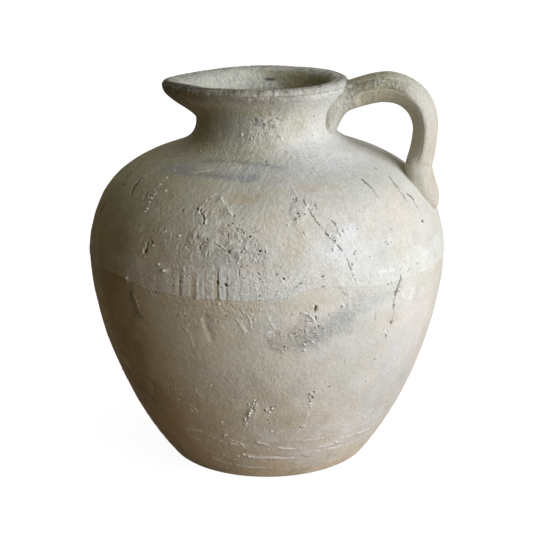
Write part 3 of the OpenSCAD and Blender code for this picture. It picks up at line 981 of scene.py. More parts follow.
    def scores(self) -> list[Mark]:
        """Pale scratches, tool drags, wiped lines and thin ridges; a ridge has a depth below 0.

        Returns:
            The scratches.
        """
        rows = (  # width, depth, chalk, broken, then the places
            (1.1, -0.6, 0.75, 0.05, (-8.2, 294), (-5.6, 289), (-3.8, 285), (-2.4, 281.5), (-1, 279)),
            (1.0, -0.5, 0.55, 0.2, (-9.6, 295.5), (-12, 292), (-12.8, 287), (-14.2, 284)),
            (0.9, -0.6, 0.8, 0.1, (-10.4, 277), (-9.9, 271)),
            (0.9, -0.4, 0.6, 0.35, (-2.2, 272), (-1, 269), (0.4, 267), (1.7, 265.5), (6.7, 264)),
            (0.8, -0.3, 0.6, 0.3, (-5.9, 260), (-4, 256), (-1.7, 252)),
            (1.4, -0.6, 0.6, 0.05, (-31, 251), (-31.2, 244), (-31.5, 239.5)),
            (1.0, -0.4, 0.7, 0.1, (-31.2, 239.5), (-29.4, 236.5)),
            (1.6, -0.6, 1.0, 0.0, (-37.1, 217), (-37.1, 209.5)),
            (0.9, -0.3, 0.4, 0.1, (-21.8, 264), (-21.4, 254)),
            (1.0, -0.3, 0.5, 0.1, (20.5, 303), (21.1, 296), (22.3, 293), (23.6, 291)),
            (0.7, -0.3, 0.5, 0.2, (22.3, 299), (24, 292.5)),
            (1.0, -0.3, 0.8, 0.4, (-24, 306.5), (-18.8, 309), (-13.3, 309.5), (-8.5, 311), (-1, 312)),
            (0.8, -0.2, 0.6, 0.4, (-30, 305), (-22, 308), (-16, 308)),
            (1.3, -0.6, 0.85, 0.05, (20.3, 195.5), (22.2, 193), (23.3, 188.5), (24.5, 184)),
            (1.0, -0.5, 0.6, 0.1, (21.2, 190), (21.5, 185.5), (23.2, 183.5)),
            (2.6, -0.4, 1.0, 0.0, (10.2, 179), (10.4, 172)),
            (0.8, -0.3, 0.45, 0.1, (9.8, 197), (10.6, 187), (11.8, 182), (11.5, 169)),
            (0.8, -0.2, 0.4, 0.2, (7.7, 182), (7.7, 168)), (0.9, -0.2, 0.6, 0.1, (34.6, 204), (35.1, 192)),
            (1.2, -0.2, 0.8, 0.1, (32.6, 200.5), (33, 194)), (0.9, -0.3, 0.85, 0.05, (2, 202), (3.2, 195)),
            (0.8, 0.2, 0.6, 0.05, (1, 202), (2.4, 194.5)),
            (0.9, -0.3, 0.85, 0.05, (3.6, 198), (4.8, 190), (5, 186), (5.6, 179)),
            (0.9, -0.3, 0.7, 0.05, (0.1, 193), (1.8, 184.5), (3.6, 176.5)),
            (0.8, -0.3, 0.6, 0.05, (1.4, 189), (3.2, 180), (4.2, 177)),
            (0.9, -0.2, 0.65, 0.15, (-16, 178), (-14.7, 171), (-13.6, 163), (-13.2, 157)),
            (2.6, 0.6, 0.0, 0.0, (-8.8, 196), (-8.6, 183), (-7.8, 175), (-6.8, 165)),
            (0.7, 0.3, 0.4, 0.1, (-2, 208), (1, 196)),
            (1.1, -0.35, 1.0, 0.25, (-29, 57), (-19, 59.5), (-14.4, 53.5), (-9, 48.5), (-3.5, 44.5)),
            (1.2, -0.35, 1.0, 0.1, (-7, 53), (-2.3, 50), (-0.5, 45)),
            (1.1, -0.3, 0.9, 0.25, (-9, 51), (-4, 47), (0, 45)),
            (1.3, -0.5, 1.0, 0.1, (-2.5, 36), (0.5, 32.5), (6.5, 31), (12.5, 30), (19.5, 28.5), (25.5, 27.3)),
            (1.5, -0.4, 1.0, 0.3, (-3, 33), (2, 30), (8, 28)),
            (1.1, -0.4, 1.0, 0.2, (-23, 26), (-15, 20.5), (-7.5, 18), (0, 15.5), (7.7, 16.8), (12.5, 16.3)),
            (1.7, -0.5, 1.0, 0.0, (4.2, 53), (7.3, 49.5), (9.8, 48.2)),
            (1.3, -0.35, 1.0, 0.25, (11.5, 47), (15.8, 43.5), (20, 42), (24.5, 42)),
            (1.4, -0.35, 1.0, 0.25, (30, 40), (36, 39), (41, 40), (46, 41.5)),
            (1.3, -0.35, 1.0, 0.35, (44, 44), (51, 44.5), (60, 42.5), (67, 39.5)),
            (1.1, -0.3, 0.9, 0.3, (-30, 50), (-20, 46), (-12, 40)),
            (1.2, -0.3, 0.9, 0.3, (24.3, 93), (23.7, 80)), (1.1, -0.3, 0.9, 0.3, (22.4, 71), (20.8, 63.5)),
            (1.0, -0.3, 0.8, 0.3, (-14, 33), (-6, 27), (0, 25)),
            (1.0, -0.3, 0.8, 0.4, (14, 56), (24, 52), (34, 51)),
            (1.2, 0.5, 0.0, 0.2, (-2, 38), (8, 34), (20, 32)),
            (1.4, 0.5, 0.0, 0.2, (28, 36), (42, 35), (58, 34)),
            (1.0, -0.3, 0.9, 0.4, (46, 60), (52, 66), (56, 74)),
            (0.9, -0.3, 0.7, 0.0, (-20.4, 90), (-19.7, 92), (-18.2, 88.5), (-17.5, 83.5), (-18.3, 81.5),
             (-19.8, 85), (-20.4, 89)),
            (0.8, -0.3, 0.5, 0.0, (-25.4, 30), (-24.9, 32), (-23.8, 29), (-24.4, 27.5)),
            (0.8, -0.3, 0.5, 0.0, (-30.8, 43), (-30.2, 45), (-29.2, 42), (-29.8, 40.5)),
            (1.9, -0.5, 1.0, 0.0, (55.3, 199), (55.8, 190)),
            (1.9, -0.5, 1.0, 0.0, (58.6, 186), (60, 190), (60.4, 199)),
            (1.8, -0.5, 1.0, 0.15, (43.5, 223.8), (52, 221.5)), (2.0, -0.5, 1.0, 0.0, (66, 226), (70.5, 224)),
            (1.0, -0.2, 0.85, 0.2, (54.5, 218), (58, 219)), (0.7, 0.2, 0.3, 0.3, (60, 262), (62, 236)),
            (0.9, -0.2, 0.75, 0.1, (4, 356.5), (8.5, 356)), (0.9, -0.2, 0.75, 0.1, (22, 354.5), (26.5, 354.3)),
            (0.8, -0.2, 0.7, 0.3, (24, 350), (32, 348), (40, 348.5)),
            (0.8, 0.2, 0.35, 0.2, (-34, 346), (-26, 331)), (0.8, 0.2, 0.3, 0.2, (-40, 348), (-31, 334)),
            (0.8, 0.2, 0.3, 0.2, (-26, 350), (-18, 334)), (0.9, -0.2, 0.4, 0.3, (-12, 356), (-10.5, 346)),
            (0.8, -0.2, 0.3, 0.3, (-8, 354), (-7, 346)))
        return [Scratch(list(row[4:]), *row[:4]) for row in rows]

    def flaked(self) -> list[Mark]:
        """Clusters of short cracks and crumbs, where the wash has lifted or the clay has burst.

        Returns:
            The marks of every cluster.
        """
        clusters = (  # azimuth, height, width and height of the cluster, how many, lean of the cracks
            (11, 348, 32, 11, 34, 75), (6, 334, 44, 10, 12, 60), (-13, 283, 12, 14, 6, 70),
            (2, 267, 36, 12, 24, 30), (3, 250, 46, 24, 44, 70), (-14, 250, 16, 16, 6, 80),
            (20.5, 279, 5, 8, 8, 60), (21, 294, 6, 16, 6, 65), (27, 280, 8, 16, 5, 60),
            (31, 264, 14, 26, 6, 60), (-37, 291, 8, 24, 8, 60), (-27, 292, 14, 10, 4, 40),
            (-24, 255, 12, 24, 8, 80), (-36, 210, 12, 14, 7, 80), (-16, 196, 8, 22, 4, 85),
            (2, 190, 30, 24, 10, 60), (22, 174, 36, 18, 18, 20), (22, 190, 8, 12, 5, 70),
            (42, 262, 60, 60, 12, 60), (62, 226, 40, 60, 10, 80), (14, 200, 60, 24, 10, 60),
            (38, 120, 60, 90, 12, 75), (6, 60, 90, 40, 14, 30), (-20, 120, 50, 110, 14, 75),
            (4, 95, 8, 26, 8, 70), (10.4, 94, 8, 6, 5, 40), (24.5, 103, 5, 16, 6, 80),
            (52, 200, 12, 36, 8, 85), (50, 168, 10, 30, 6, 85), (5, 30, 100, 14, 16, 5),
            (38, 52, 70, 12, 10, 10), (-34, 190, 10, 34, 10, 85), (56, 222, 40, 12, 10, 20),
            (10, 226, 60, 16, 14, 80), (-12, 225, 20, 14, 8, 85), (38, 236, 20, 14, 5, 30),
            (150, 262, 60, 30, 18, 60), (212, 200, 50, 40, 9, 70), (240, 290, 40, 14, 10, 40),
            (280, 215, 40, 20, 6, 80), (190, 60, 80, 20, 7, 20), (300, 90, 50, 30, 5, 70),
            (130, 140, 40, 40, 5, 75), (200, 334, 60, 14, 14, 60))
        rng = np.random.default_rng(self.seed + 1)
        rows: list[Mark] = []
        for azimuth, height, wide, high, count, lean in clusters:
            degrees = math.degrees(1 / float(self.pot.radius(height)))
            rise = abs(float(np.interp(height, self.pot.line[:, 1], self.pot.facing[:, 0])))
            for number in range(count):
                turn, reach = rng.uniform(0, 2 * math.pi), math.sqrt(rng.random()) / 2
                a = azimuth + degrees * wide * reach * math.cos(turn)
                h = height + rise * high * reach * math.sin(turn)
                slant, length = math.radians(lean + rng.normal(0, 28)), rng.uniform(1.2, 4.5)
                step = (degrees * length * math.cos(slant), -rise * length * math.sin(slant))
                width, lips = rng.uniform(0.8, 1.3), rng.uniform(0.5, 1.0)
                if number % 3 == 0:
                    path = [(a, h), (a + step[0], h + step[1])]
                    rows.append(Crack(path, width, 0.8, 0.9, lips, 0.6, 1.9))
                elif number % 3 == 1:
                    size, proud, chalk = rng.uniform(0.7, 1.4), rng.uniform(0.3, 0.8), rng.uniform(0.7, 1.0)
                    rows.append(Lump(a, h, size, proud, chalk))
                else:
                    size, long, turned_by = rng.uniform(0.5, 0.85), rng.uniform(1, 2), rng.uniform(-60, 60)
                    rows.append(Pit(a, h, size, 0.8, long, turned_by, lips, 0.75))
        return rows

    def scattered(self) -> list[Mark]:
        """Small pits, crumbs and scratches all round, thinner where the listed ones are.

        Returns:
            The small marks, the same ones at each run.
        """
        rng = np.random.default_rng(self.seed)
        rows: list[Mark] = []
        for _ in range(170):
            azimuth, height = rng.uniform(-180, 180), rng.uniform(16, 336)
            front = abs(azimuth - 10) < 75
            if front and rng.random() < 0.5:
                continue
            size = rng.uniform(0.45, 0.75) if front else rng.uniform(0.6, 1.2)
            long, lean = rng.uniform(1, 2), rng.uniform(-60, 60)
            chip, dark = rng.uniform(0.2, 0.8), rng.uniform(0.2, 0.8)
            rows.append(Pit(azimuth, height, size, 1.1 * size, long, lean, chip, dark))
        for _ in range(60):
            azimuth, height = rng.uniform(-180, 180), rng.uniform(16, 330)
            size, rise, chalk = rng.uniform(0.6, 1.2), rng.uniform(0.2, 0.5), rng.uniform(0.3, 0.8)
            rows.append(Lump(azimuth, height, size, rise, chalk))
        for _ in range(36):
            azimuth, height = rng.uniform(-180, 180), rng.uniform(20, 310)
            turn, length = rng.uniform(-4, 4), rng.uniform(8, 26)
            path = [(azimuth, height), (azimuth + turn, height - length)]
            rows.append(Scratch(path, 0.7, 0.2, rng.uniform(0.2, 0.5)))
        for _ in range(22):
            azimuth, height = rng.uniform(-180, 180), rng.uniform(14, 62)
            path = [(azimuth, height), (azimuth + rng.uniform(6, 22), height + rng.uniform(-3, 3))]
            rows.append(Scratch(path, 0.8, 0.25, rng.uniform(0.3, 0.7), 0.4))
        return rows

    def closeness(self, points: np.ndarray) -> np.ndarray:
        """Distance from points to the nearest mark that needs a finer mesh.

        Args:
            points: places, in millimetres, one row each.

        Returns:
            One distance for each place, in millimetres.
        """
        places = Places(points)
        best = np.full(len(points), FAR)
        for mark in self.marks:
            if not mark.refines:
                continue
            where = places.near(mark.line(self.pot), 8 + mark.extent())
            if len(where):
                best[where] = np.minimum(best[where], mark.closeness(points[where], self.pot))
        return best

    def colour_clay(self, skin: Skin) -> None:
        """Gives the clay its own colour before any mark: cream above, tan below, in soft clouds.

        Args:
            skin: the skin to colour.
        """
        points, height = skin.points, skin.points[:, 2]
        cloud, small = layered(points, 70, 21), layered(points, 22, 23)
        skin.stain(Clay.PEACH, 0.6 * ease(-0.3, 0.4, cloud))
        skin.stain(Clay.TAN, 0.7 * (1 - ease(20, 210, height + 30 * cloud + 16 * small)))
        skin.stain(Clay.EARTH, 0.75 * (1 - ease(-6, 74, height + 18 * cloud + 10 * small)))
        skin.stain(Clay.OCHRE, 0.28 * ease(0.12, 0.5, layered(points, 30, 25)))
        skin.stain(Clay.GREY, 0.35 * ease(0.05, 0.4, layered(points, 38, 26)) * ease(60, 150, height))
        skin.stain(Clay.SLIP, 0.4 * ease(0.18, 0.4, layered(points, 19, 27)))
        skin.stain(Clay.BARE, 0.3 * ease(0.1, 0.45, layered(points, 17, 28)) * (1 - ease(60, 150, height)))
        skin.stain(Clay.GREY, 0.5 * ease(268, 320, height + 16 * cloud) * ease(-0.7, 0.2, small))
        skin.tint *= (1 + 0.05 * small + 0.05 * layered(points, 7, 29))[:, None]

    def outside(self, points: np.ndarray) -> Skin:
        """The skin of the pot's outside, with all its marks.

        Args:
            points: places, in millimetres, one row each.

        Returns:
            The weathered skin over those places.
        """
        skin = Skin(points)
        height = points[:, 2]
        self.colour_clay(skin)
        skin.lift = 0.5 * noise(points, 78, 31) + 0.32 * noise(points, 34, 33) + 0.2 * noise(points, 15, 35)
        rings = np.sin(2 * math.pi * height / 10.5 + 2.2 * noise(points, 70, 37))
        skin.lift += 0.14 * rings * (1 - ease(50, 110, height)) * (0.6 + 0.4 * noise(points, 40, 39))
        skin.rough = 0.02 + 0.08 * ease(150, 240, height) + 0.25 * ease(300, 324, height)
        self.strokes(skin)
        for mark in self.marks:
            mark.apply(skin, self.pot)
        skin.lift += 0.08 * noise(points, 6.5, 35) + (0.05 + 0.22 * skin.rough) * layered(points, 4.2, 36, 2)
        skin.lift *= ease(-1, 9, height)
        return skin

    def strokes(self, skin: Skin) -> None:
        """Slanting strokes of a wiping hand, in patches, with a little wash on them.

        Args:
            skin: the skin to change.
        """
        points, height = skin.points, skin.points[:, 2]
        arc = np.radians(azimuths(points)) * 160
        for lean, seed, wide in ((0.35, 201, 1.7), (-0.5, 205, 1.5), (6.0, 209, 1.3)):
            across = (arc + lean * height) / math.hypot(1, lean)
            along = (lean * arc - height) / math.hypot(1, lean)
            stroke = noise(columns(across / wide, along / 14, 0 * arc), 1.0, seed)
            patch = ease(0.1, 0.45, layered(points, 34, seed + 1)) * ease(90, 150, height)
            if lean > 1:
                patch = (1 - ease(60, 100, height)) * unit(0.5 + layered(points, 30, seed + 1))
            skin.lift += 0.24 * stroke * patch
            skin.whiten(0.35 * patch * ease(0.42, 0.65, stroke))

    def lining(self, points: np.ndarray) -> Skin:
        """The skin of the pot's inside: finger rings in bare clay, with painted shade that deepens further
        down.

        Args:
            points: places, in millimetres, one row each.

        Returns:
            The skin over those places.
        """
        skin = Skin(points)
        turn = np.arctan2(points[:, 0], -points[:, 1])
        rings = np.sin(2 * math.pi * points[:, 2] / 13 + turn + noise(points, 60, 111))
        skin.lift = 0.55 * rings + 0.3 * noise(points, 26, 113)
        skin.rough += 0.3
        # painted shade: the lining is darker the deeper it lies in the pot, with uneven tone on top
        deep = 1 - ease(120, 330, points[:, 2] + 20 * layered(points, 50, 115))
        shade = 1.05 - 0.35 * deep + 0.12 * layered(points, 18, 117)
        skin.tint = np.array(Clay.BARE.value) * shade[:, None]
        return skin

    def dress(self, points: np.ndarray, outer: np.ndarray) -> Skin:
        """The skin at some places of the pot.

        Args:
            points: places on the even surface, in millimetres.
            outer: 1 on the outside of the pot, 0 on its lining, or between the two over the rim.

        Returns:
            The skin, with the outside's marks only where the outside is.
        """
        skin = self.lining(points)
        shown = np.flatnonzero(outer > 0)
        face = self.outside(points[shown])
        whole = Skin(points)
        for name in SKIN_ROWS:
            getattr(whole, name)[shown] = getattr(face, name)
        skin.blend(whole, outer)
        return skin


# ---------------------------------------------------------------- shaping meshes

STEPS_ROUND = 370
COIL_STEPS = 240
SHARP_ANGLE = 58


def in_scene(name: str, data: bpy.types.ID) -> bpy.types.Object:
    """Makes an object of some data and puts it in the scene.

    Args:
        name: the object's name.
        data: its mesh, lamp or camera.

    Returns:
        The object, at the origin.
    """
    made = bpy.data.objects.new(name, data)
    bpy.context.scene.collection.objects.link(made)
    return made


def mesh_from(name: str, bm: bmesh.types.BMesh) -> bpy.types.Mesh:
    """Makes a mesh of some faces, which are used up.

    Args:
        name: the mesh's name.
        bm: the faces.

    Returns:
        The mesh.
    """
    mesh = bpy.data.meshes.new(name)
    bm.to_mesh(mesh)
    bm.free()
    return mesh


def sharpened(mesh: bpy.types.Mesh) -> None:
    """Smooths a mesh's shading, apart from its real edges."""
    mesh.polygons.foreach_set("use_smooth", np.ones(len(mesh.polygons), bool))
    mesh.set_sharp_from_angle(angle=math.radians(SHARP_ANGLE))


def spots(bm: bmesh.types.BMesh) -> np.ndarray:
    """The places of a mesh's vertices, one row each."""
    return np.array([v.co for v in bm.verts], float).reshape(-1, 3)


def normals(bm: bmesh.types.BMesh) -> np.ndarray:
    """The directions that a mesh's vertices face."""
    bm.normal_update()
    return np.array([v.normal for v in bm.verts], float).reshape(-1, 3)


def values(bm: bmesh.types.BMesh, name: str) -> np.ndarray:
    """A number kept on each vertex of a mesh."""
    layer = bm.verts.layers.float[name]
    return np.array([v[layer] for v in bm.verts], float)


def keep(bm: bmesh.types.BMesh, name: str, row: Sequence[float]) -> None:
    """Keeps a number on each vertex of a mesh.

    Args:
        bm: the mesh.
        name: what the number is called.
        row: one number for each vertex, in order.
    """
    layer = bm.verts.layers.float.new(name)
    for vert, value in zip(bm.verts, row):
        vert[layer] = value


def settle(bm: bmesh.types.BMesh) -> None:
    """Merges what a full turn left double and turns every face outwards."""
    bmesh.ops.remove_doubles(bm, verts=bm.verts, dist=1e-3)
    bmesh.ops.recalc_face_normals(bm, faces=bm.faces)


def turned(section: np.ndarray, closed: bool = True, steps: int = STEPS_ROUND) -> bmesh.types.BMesh:
    """Turns a section about the pot's axis.

    Args:
        section: the section's points, (radius, height), in order.
        closed: joins the last point to the first; an open section starts and ends on the axis.
        steps: number of steps round.

    Returns:
        A closed mesh. Each vertex keeps the number of its point in the section.
    """
    bm = bmesh.new()
    layer = bm.verts.layers.float.new(ALONG)
    verts = [bm.verts.new((0, -r, z)) for r, z in section]
    for i, vert in enumerate(verts):
        vert[layer] = i
    pairs = zip(verts, verts[1:] + verts[:1]) if closed else zip(verts, verts[1:])
    edges = [bm.edges.new(pair) for pair in pairs]
    middle = (0, 0, 0)
    bmesh.ops.spin(bm, geom=verts + edges, axis=(0, 0, 1), cent=middle, angle=math.pi / 2, steps=steps // 4)
    for turn in (90, 180):
        copied = bmesh.ops.duplicate(bm, geom=[*bm.verts, *bm.edges, *bm.faces])["geom"]
        corners = [v for v in copied if isinstance(v, bmesh.types.BMVert)]
        bmesh.ops.rotate(bm, verts=corners, cent=middle, matrix=Matrix.Rotation(math.radians(turn), 3, "Z"))
    settle(bm)
    return bm


def swept(rings: list[np.ndarray]) -> bmesh.types.BMesh:
    """Draws one ring out through others; both ends stay open.

    Args:
        rings: rings of equal length, in order.

    Returns:
        An open tube. Each vertex keeps the number of its ring, and degrees round it.
    """
    bm = bmesh.new()
    along, turn = bm.verts.layers.float.new(ALONG), bm.verts.layers.float.new(TURN)
    ring = [bm.verts.new(point) for point in rings[0]]
    edges = [bm.edges.new(pair) for pair in zip(ring, ring[1:] + ring[:1])]
    for i, vert in enumerate(ring):
        vert[turn] = 360 * i / len(ring)
    for number, places in enumerate(rings[1:], 1):
        made = bmesh.ops.extrude_edge_only(bm, edges=edges)["geom"]
        edges = [e for e in made if isinstance(e, bmesh.types.BMEdge)]
        for vert in (v for v in made if isinstance(v, bmesh.types.BMVert)):
            vert.co = places[round(vert[turn] * len(ring) / 360) % len(ring)]
            vert[along] = number
    bmesh.ops.recalc_face_normals(bm, faces=bm.faces)
    return bm


def refined(bm: bmesh.types.BMesh, closeness: Callable[[np.ndarray], np.ndarray],
            levels: tuple[float, ...] = (0.8, -0.5, -1.8)) -> None:
    """Splits the mesh finer near the marks.

    Args:
        bm: the mesh, changed in place.
        closeness: gives the distance of points from the marks.
        levels: distances inside which edges are halved, one round for each.
    """
    for reach in levels:
        bm.edges.ensure_lookup_table()
        middles = np.array([(e.verts[0].co + e.verts[1].co) / 2 for e in bm.edges], float)
        chosen = np.flatnonzero(closeness(middles) < reach)
        edges = [bm.edges[i] for i in chosen]
        bmesh.ops.subdivide_edges(bm, edges=edges, cuts=1, use_grid_fill=True, use_single_edge=True)


@dataclass
class Piece:
    """A finished piece of the pot: what it stands for and what it is finished with."""
    name: str
    node: str
    slot: str

    def add(self, bm: bmesh.types.BMesh, places: np.ndarray, out: np.ndarray, skin: Skin) -> bpy.types.Object:
        """Makes the piece's object.

        Args:
            bm: the mesh's faces; it is used up.
            places: where its vertices are on the even surface, in millimetres.
            out: which way the surface faces at each of them.
            skin: relief, colours and wear at each vertex.

        Returns:
            The object, riding, in its finish and standing for its node.
        """
        mesh = mesh_from(self.name, bm)
        for extra in [a.name for a in mesh.attributes if a.name in (ALONG, TURN)]:
            mesh.attributes.remove(mesh.attributes[extra])
        raised = places + out * skin.lift[:, None]
        mesh.vertices.foreach_set("co", (raised * MM).astype(np.float32).ravel())
        tint = mesh.color_attributes.new("tint", "FLOAT_COLOR", "POINT")
        colour = np.concatenate([skin.tint, np.ones((len(places), 1))], axis=1)
        tint.data.foreach_set("color", colour.astype(np.float32).ravel())
        for name in ("hollow", "chalk", "rough"):
            row = mesh.attributes.new(name, "FLOAT", "POINT")
            row.data.foreach_set("value", unit(getattr(skin, name)).astype(np.float32))
        sharpened(mesh)
        mesh.update()
        made = in_scene(self.name, mesh)
        mesh.materials.append(FINISHES[self.slot].material())
        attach(made, BODY)
        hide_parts(self.node)
        triangles = sum(len(p.vertices) - 2 for p in mesh.polygons)
        log.info("%s: %d triangles, finish %s", self.name, triangles, self.slot)
        return made


# ---------------------------------------------------------------- the belly, neck and foot

@dataclass
class Vessel:
    """The pot's hollow body: foot, two bowls, the band and coil over their joint, and the neck."""
    pot: Outline
    wear: Weathering
    row: float = 2.7
    neck_row: float = 1.5
    lining_row: float = 6.5
    groove: float = 4.0
    band_low: float = 209.5
    band_high: float = 244.0
    band_proud: float = 0.75
    coil_half: float = 13.0
    coil_proud: float = 3.5
    heel_coil: float = 13.0
    edge: tuple[Place, ...] = (
        (-180, 211), (-150, 209), (-120, 212), (-90, 211), (-60, 213), (-50, 214), (-42, 214), (-36, 212),
        (-31.5, 211), (-27, 208), (-22, 209), (-16.5, 208), (-12, 209), (-11, 207), (-9, 208), (-6, 208),
        (-4.4, 210.5), (-3.3, 208), (-2, 209), (0, 208), (7, 209), (12, 210), (16.6, 211), (18.5, 214),
        (19.8, 216.5), (24, 218), (33, 216), (38, 213.5), (45.6, 211), (56, 211), (84, 209), (110, 213),
        (140, 208), (165, 212), (180, 211))
    fingers: tuple[Place, ...] = (
        (-40, 0.55), (-24, 0.55), (-17.4, 0.6), (-16.9, 0.0), (-16.2, 0.1), (-15.5, 0.9), (-13.6, 0.8),
        (-12.6, 0.1), (-11.6, 0.15), (-11.0, 1.3), (-10.6, 1.3), (-9.8, 0.8), (-9.0, 0.85), (-8.5, 0.35),
        (-7.8, 0.8), (-6.0, 0.75), (-5.5, 0.1), (-4.6, 0.0), (-4.0, 1.4), (-2.9, 1.2), (-1.9, 0.3),
        (-1.4, 0.95), (2, 0.9), (20, 0.9), (60, 0.75))

    @staticmethod
    def laid(azimuth: np.ndarray, table: tuple[Place, ...]) -> np.ndarray:
        """A value round the pot, from a table of azimuths and values."""
        turns, rows = zip(*table)
        return np.interp(azimuth, turns, rows)

    def facing(self, places: np.ndarray) -> tuple[np.ndarray, np.ndarray]:
        """Which way the pot's surface faces.

        Args:
            places: points of the pot's walls, in millimetres.

        Returns:
            The directions out of the clay, and 1 for a point outside, 0 for one on the lining.
        """
        radius, height = radii(places), places[:, 2]
        depth = self.pot.radius(height) - radius
        through = self.pot.radius(height) - self.pot.inner_radius(height)
        outer = (depth < through / 2).astype(float)
        flat, rising = (np.interp(height, self.pot.line[:, 1], self.pot.facing[:, i]) for i in (0, 1))
        level = places[:, :2] / np.maximum(radius, 1e-6)[:, None] * flat[:, None]
        sign = 2 * outer - 1
        buried = (depth > 2) & (depth < through - 2)
        return columns(*level.T, rising) * (sign * ~buried)[:, None], outer

    def notch(self) -> list[Place]:
        """The point of the V cut round the joint, which the band fills."""
        return [(float(self.pot.radius(self.pot.joint_z)) - self.groove, self.pot.joint_z)]

    def wall(self, piece: Piece, section: np.ndarray) -> bpy.types.Object:
        """Turns a wall's section, refines it near its marks and weathers it.

        Args:
            piece: what the wall is called and stands for.
            section: its closed section, as radius and height in millimetres.

        Returns:
            The finished object.
        """
        bm = turned(section)

        def closeness(points: np.ndarray) -> np.ndarray:
            """Distance from the marks, on the outside only."""
            inside = radii(points) < self.pot.radius(points[:, 2]) - 3
            return np.where(inside, FAR, self.wear.closeness(points))

        refined(bm, closeness)
        places = spots(bm)
        out, outer = self.facing(places)
        skin = self.wear.dress(places, outer)
        return piece.add(bm, places, out, skin)

    def lower_wall(self) -> bpy.types.Object:
        """The lower bowl, from the foot to the joint.

        Returns:
            The finished object.
        """
        pot, joint = self.pot, self.pot.joint_z
        outer = close_ends(pot.stretch(pot.line, pot.floor_z, joint - self.groove, self.row))
        inner = pot.stretch(pot.lining, pot.floor_z, joint, self.lining_row)
        section = np.vstack([outer, self.notch(), inner[::-1]])
        return self.wall(Piece("lower_bowl", "lower_belly", "earth_clay"), section)

    def upper_wall(self) -> bpy.types.Object:
        """The upper bowl turned over, from the joint to the neck.

        Returns:
            The finished object.
        """
        pot, joint = self.pot, self.pot.joint_z
        outer = close_ends(pot.stretch(pot.line, joint + self.groove, pot.neck_z, self.row))
        inner = pot.stretch(pot.lining, joint, pot.neck_z, self.lining_row)
        section = np.vstack([self.notch(), outer, inner[::-1]])
        return self.wall(Piece("upper_bowl", "upper_belly", "limewashed_clay"), section)

    def neck(self) -> bpy.types.Object:
        """The neck's collar of clay.

        Returns:
            The finished object.
        """
        pot = self.pot
        outer = close_ends(pot.stretch(pot.line, pot.neck_z, pot.rim_z, self.neck_row))
        inner = pot.stretch(pot.lining, pot.neck_z, pot.rim_z, 3.0)
        return self.wall(Piece("neck_collar", "neck", "limewashed_clay"), np.vstack([outer, inner[::-1]]))

    def foot(self) -> bpy.types.Object:
        """The foot's slab: rounded heel, wire-cut underside and the floor inside.

        Returns:
            The finished object.
        """
        pot = self.pot
        heel = pot.heel[0]
        above = pot.stretch(pot.line, pot.heel[-1][1], pot.floor_z, 2.0)
        side = close_ends(even_steps(np.vstack([pot.heel, above[1:]]), 1.6))
        under = even_steps(np.array([[0.0, 0.0], heel]), 4.5)
        floor = even_steps(np.array([side[-1], [0.0, pot.floor_z]]), 7.0)
        bm = turned(np.vstack([under[:-1], side, floor[1:]]), closed=False)
        places, out = spots(bm), normals(bm)
        radius = radii(places)
        heel_side = (radius > heel[0] - 0.5) & (radius > pot.radius(places[:, 2]) - 1)
        out[heel_side] = self.facing(places)[0][heel_side]
        inside = (places[:, 2] > pot.floor_z - 0.01) & ~heel_side
        skin = self.wear.dress(places, 1.0 - inside)
        below = places[:, 2] < 0.01
        sweep = np.hypot(places[:, 0] + 150, places[:, 1] - 60) + 3 * noise(places, 50, 121)
        drag = 0.5 + 0.5 * np.sin(2 * math.pi * sweep / 5.5)
        dip = ease(heel[0] - 4, heel[0] - 22, radius)
        skin.lift[below] = -(dip * (0.7 + 0.3 * drag))[below]
        skin.tint[below] *= (0.9 + 0.12 * drag + 0.1 * layered(places, 24, 123))[below][:, None]
        ring = hump(radius - heel[0], -2, 4) * (0.5 + 0.5 * layered(places, 9, 125))
        skin.whiten((0.6 * ring)[below], below)
        return Piece("foot_disc", "foot_slab", "earth_clay").add(bm, places, out, skin)

    def pressed_coil(self, piece: Piece, section: np.ndarray, seed: int) -> bpy.types.Object:
        """A coil of clay thumbed into a corner inside the pot.

        Args:
            piece: what the coil is called and stands for.
            section: its closed section, as radius and height in millimetres.
            seed: picks the pattern of its thumb marks.

        Returns:
            The finished object.
        """
        bm = turned(section, steps=COIL_STEPS)
        places, out = spots(bm), normals(bm)
        skin = self.wear.lining(places)
        turn = np.arctan2(places[:, 0], -places[:, 1])
        thumbs = np.abs(np.sin(turn * 21 + 1.5 * noise(places, 90, seed)))
        skin.lift = -1.3 * (1 - thumbs) + 0.5 * noise(places, 12, seed + 1)
        skin.tint *= 0.9
        return piece.add(bm, places, out, skin)

    def coils(self) -> list[bpy.types.Object]:
        """The coils that hold the heel and the joint from inside.

        Returns:
            Both coils, finished.
        """
        pot, joint = self.pot, self.pot.joint_z
        levels = (pot.floor_z, pot.floor_z + self.heel_coil)
        corner, top = (np.array([float(pot.inner_radius(z)), z]) for z in levels)
        share = np.linspace(0, 1, 10)[1:]
        front = bezier(top, corner + (0, 4), corner + (-2, 1), corner - (self.heel_coil, 0), share)
        back = pot.stretch(pot.lining, pot.floor_z, top[1], 3.0)
        heel = self.pressed_coil(Piece("heel_roll", "heel_coil", "inner_clay"), np.vstack([back, front]), 131)
        wall = pot.stretch(pot.lining, joint - self.coil_half, joint + self.coil_half, 3.0)
        angles = np.radians(np.arange(78, -79, -13))
        heights = joint + self.coil_half * np.sin(angles)
        face = columns(pot.inner_radius(heights) - self.coil_proud * np.cos(angles), heights)
        seam = self.pressed_coil(Piece("joint_roll", "joint_coil", "inner_clay"), np.vstack([wall, face]), 137)
        return [heel, seam]

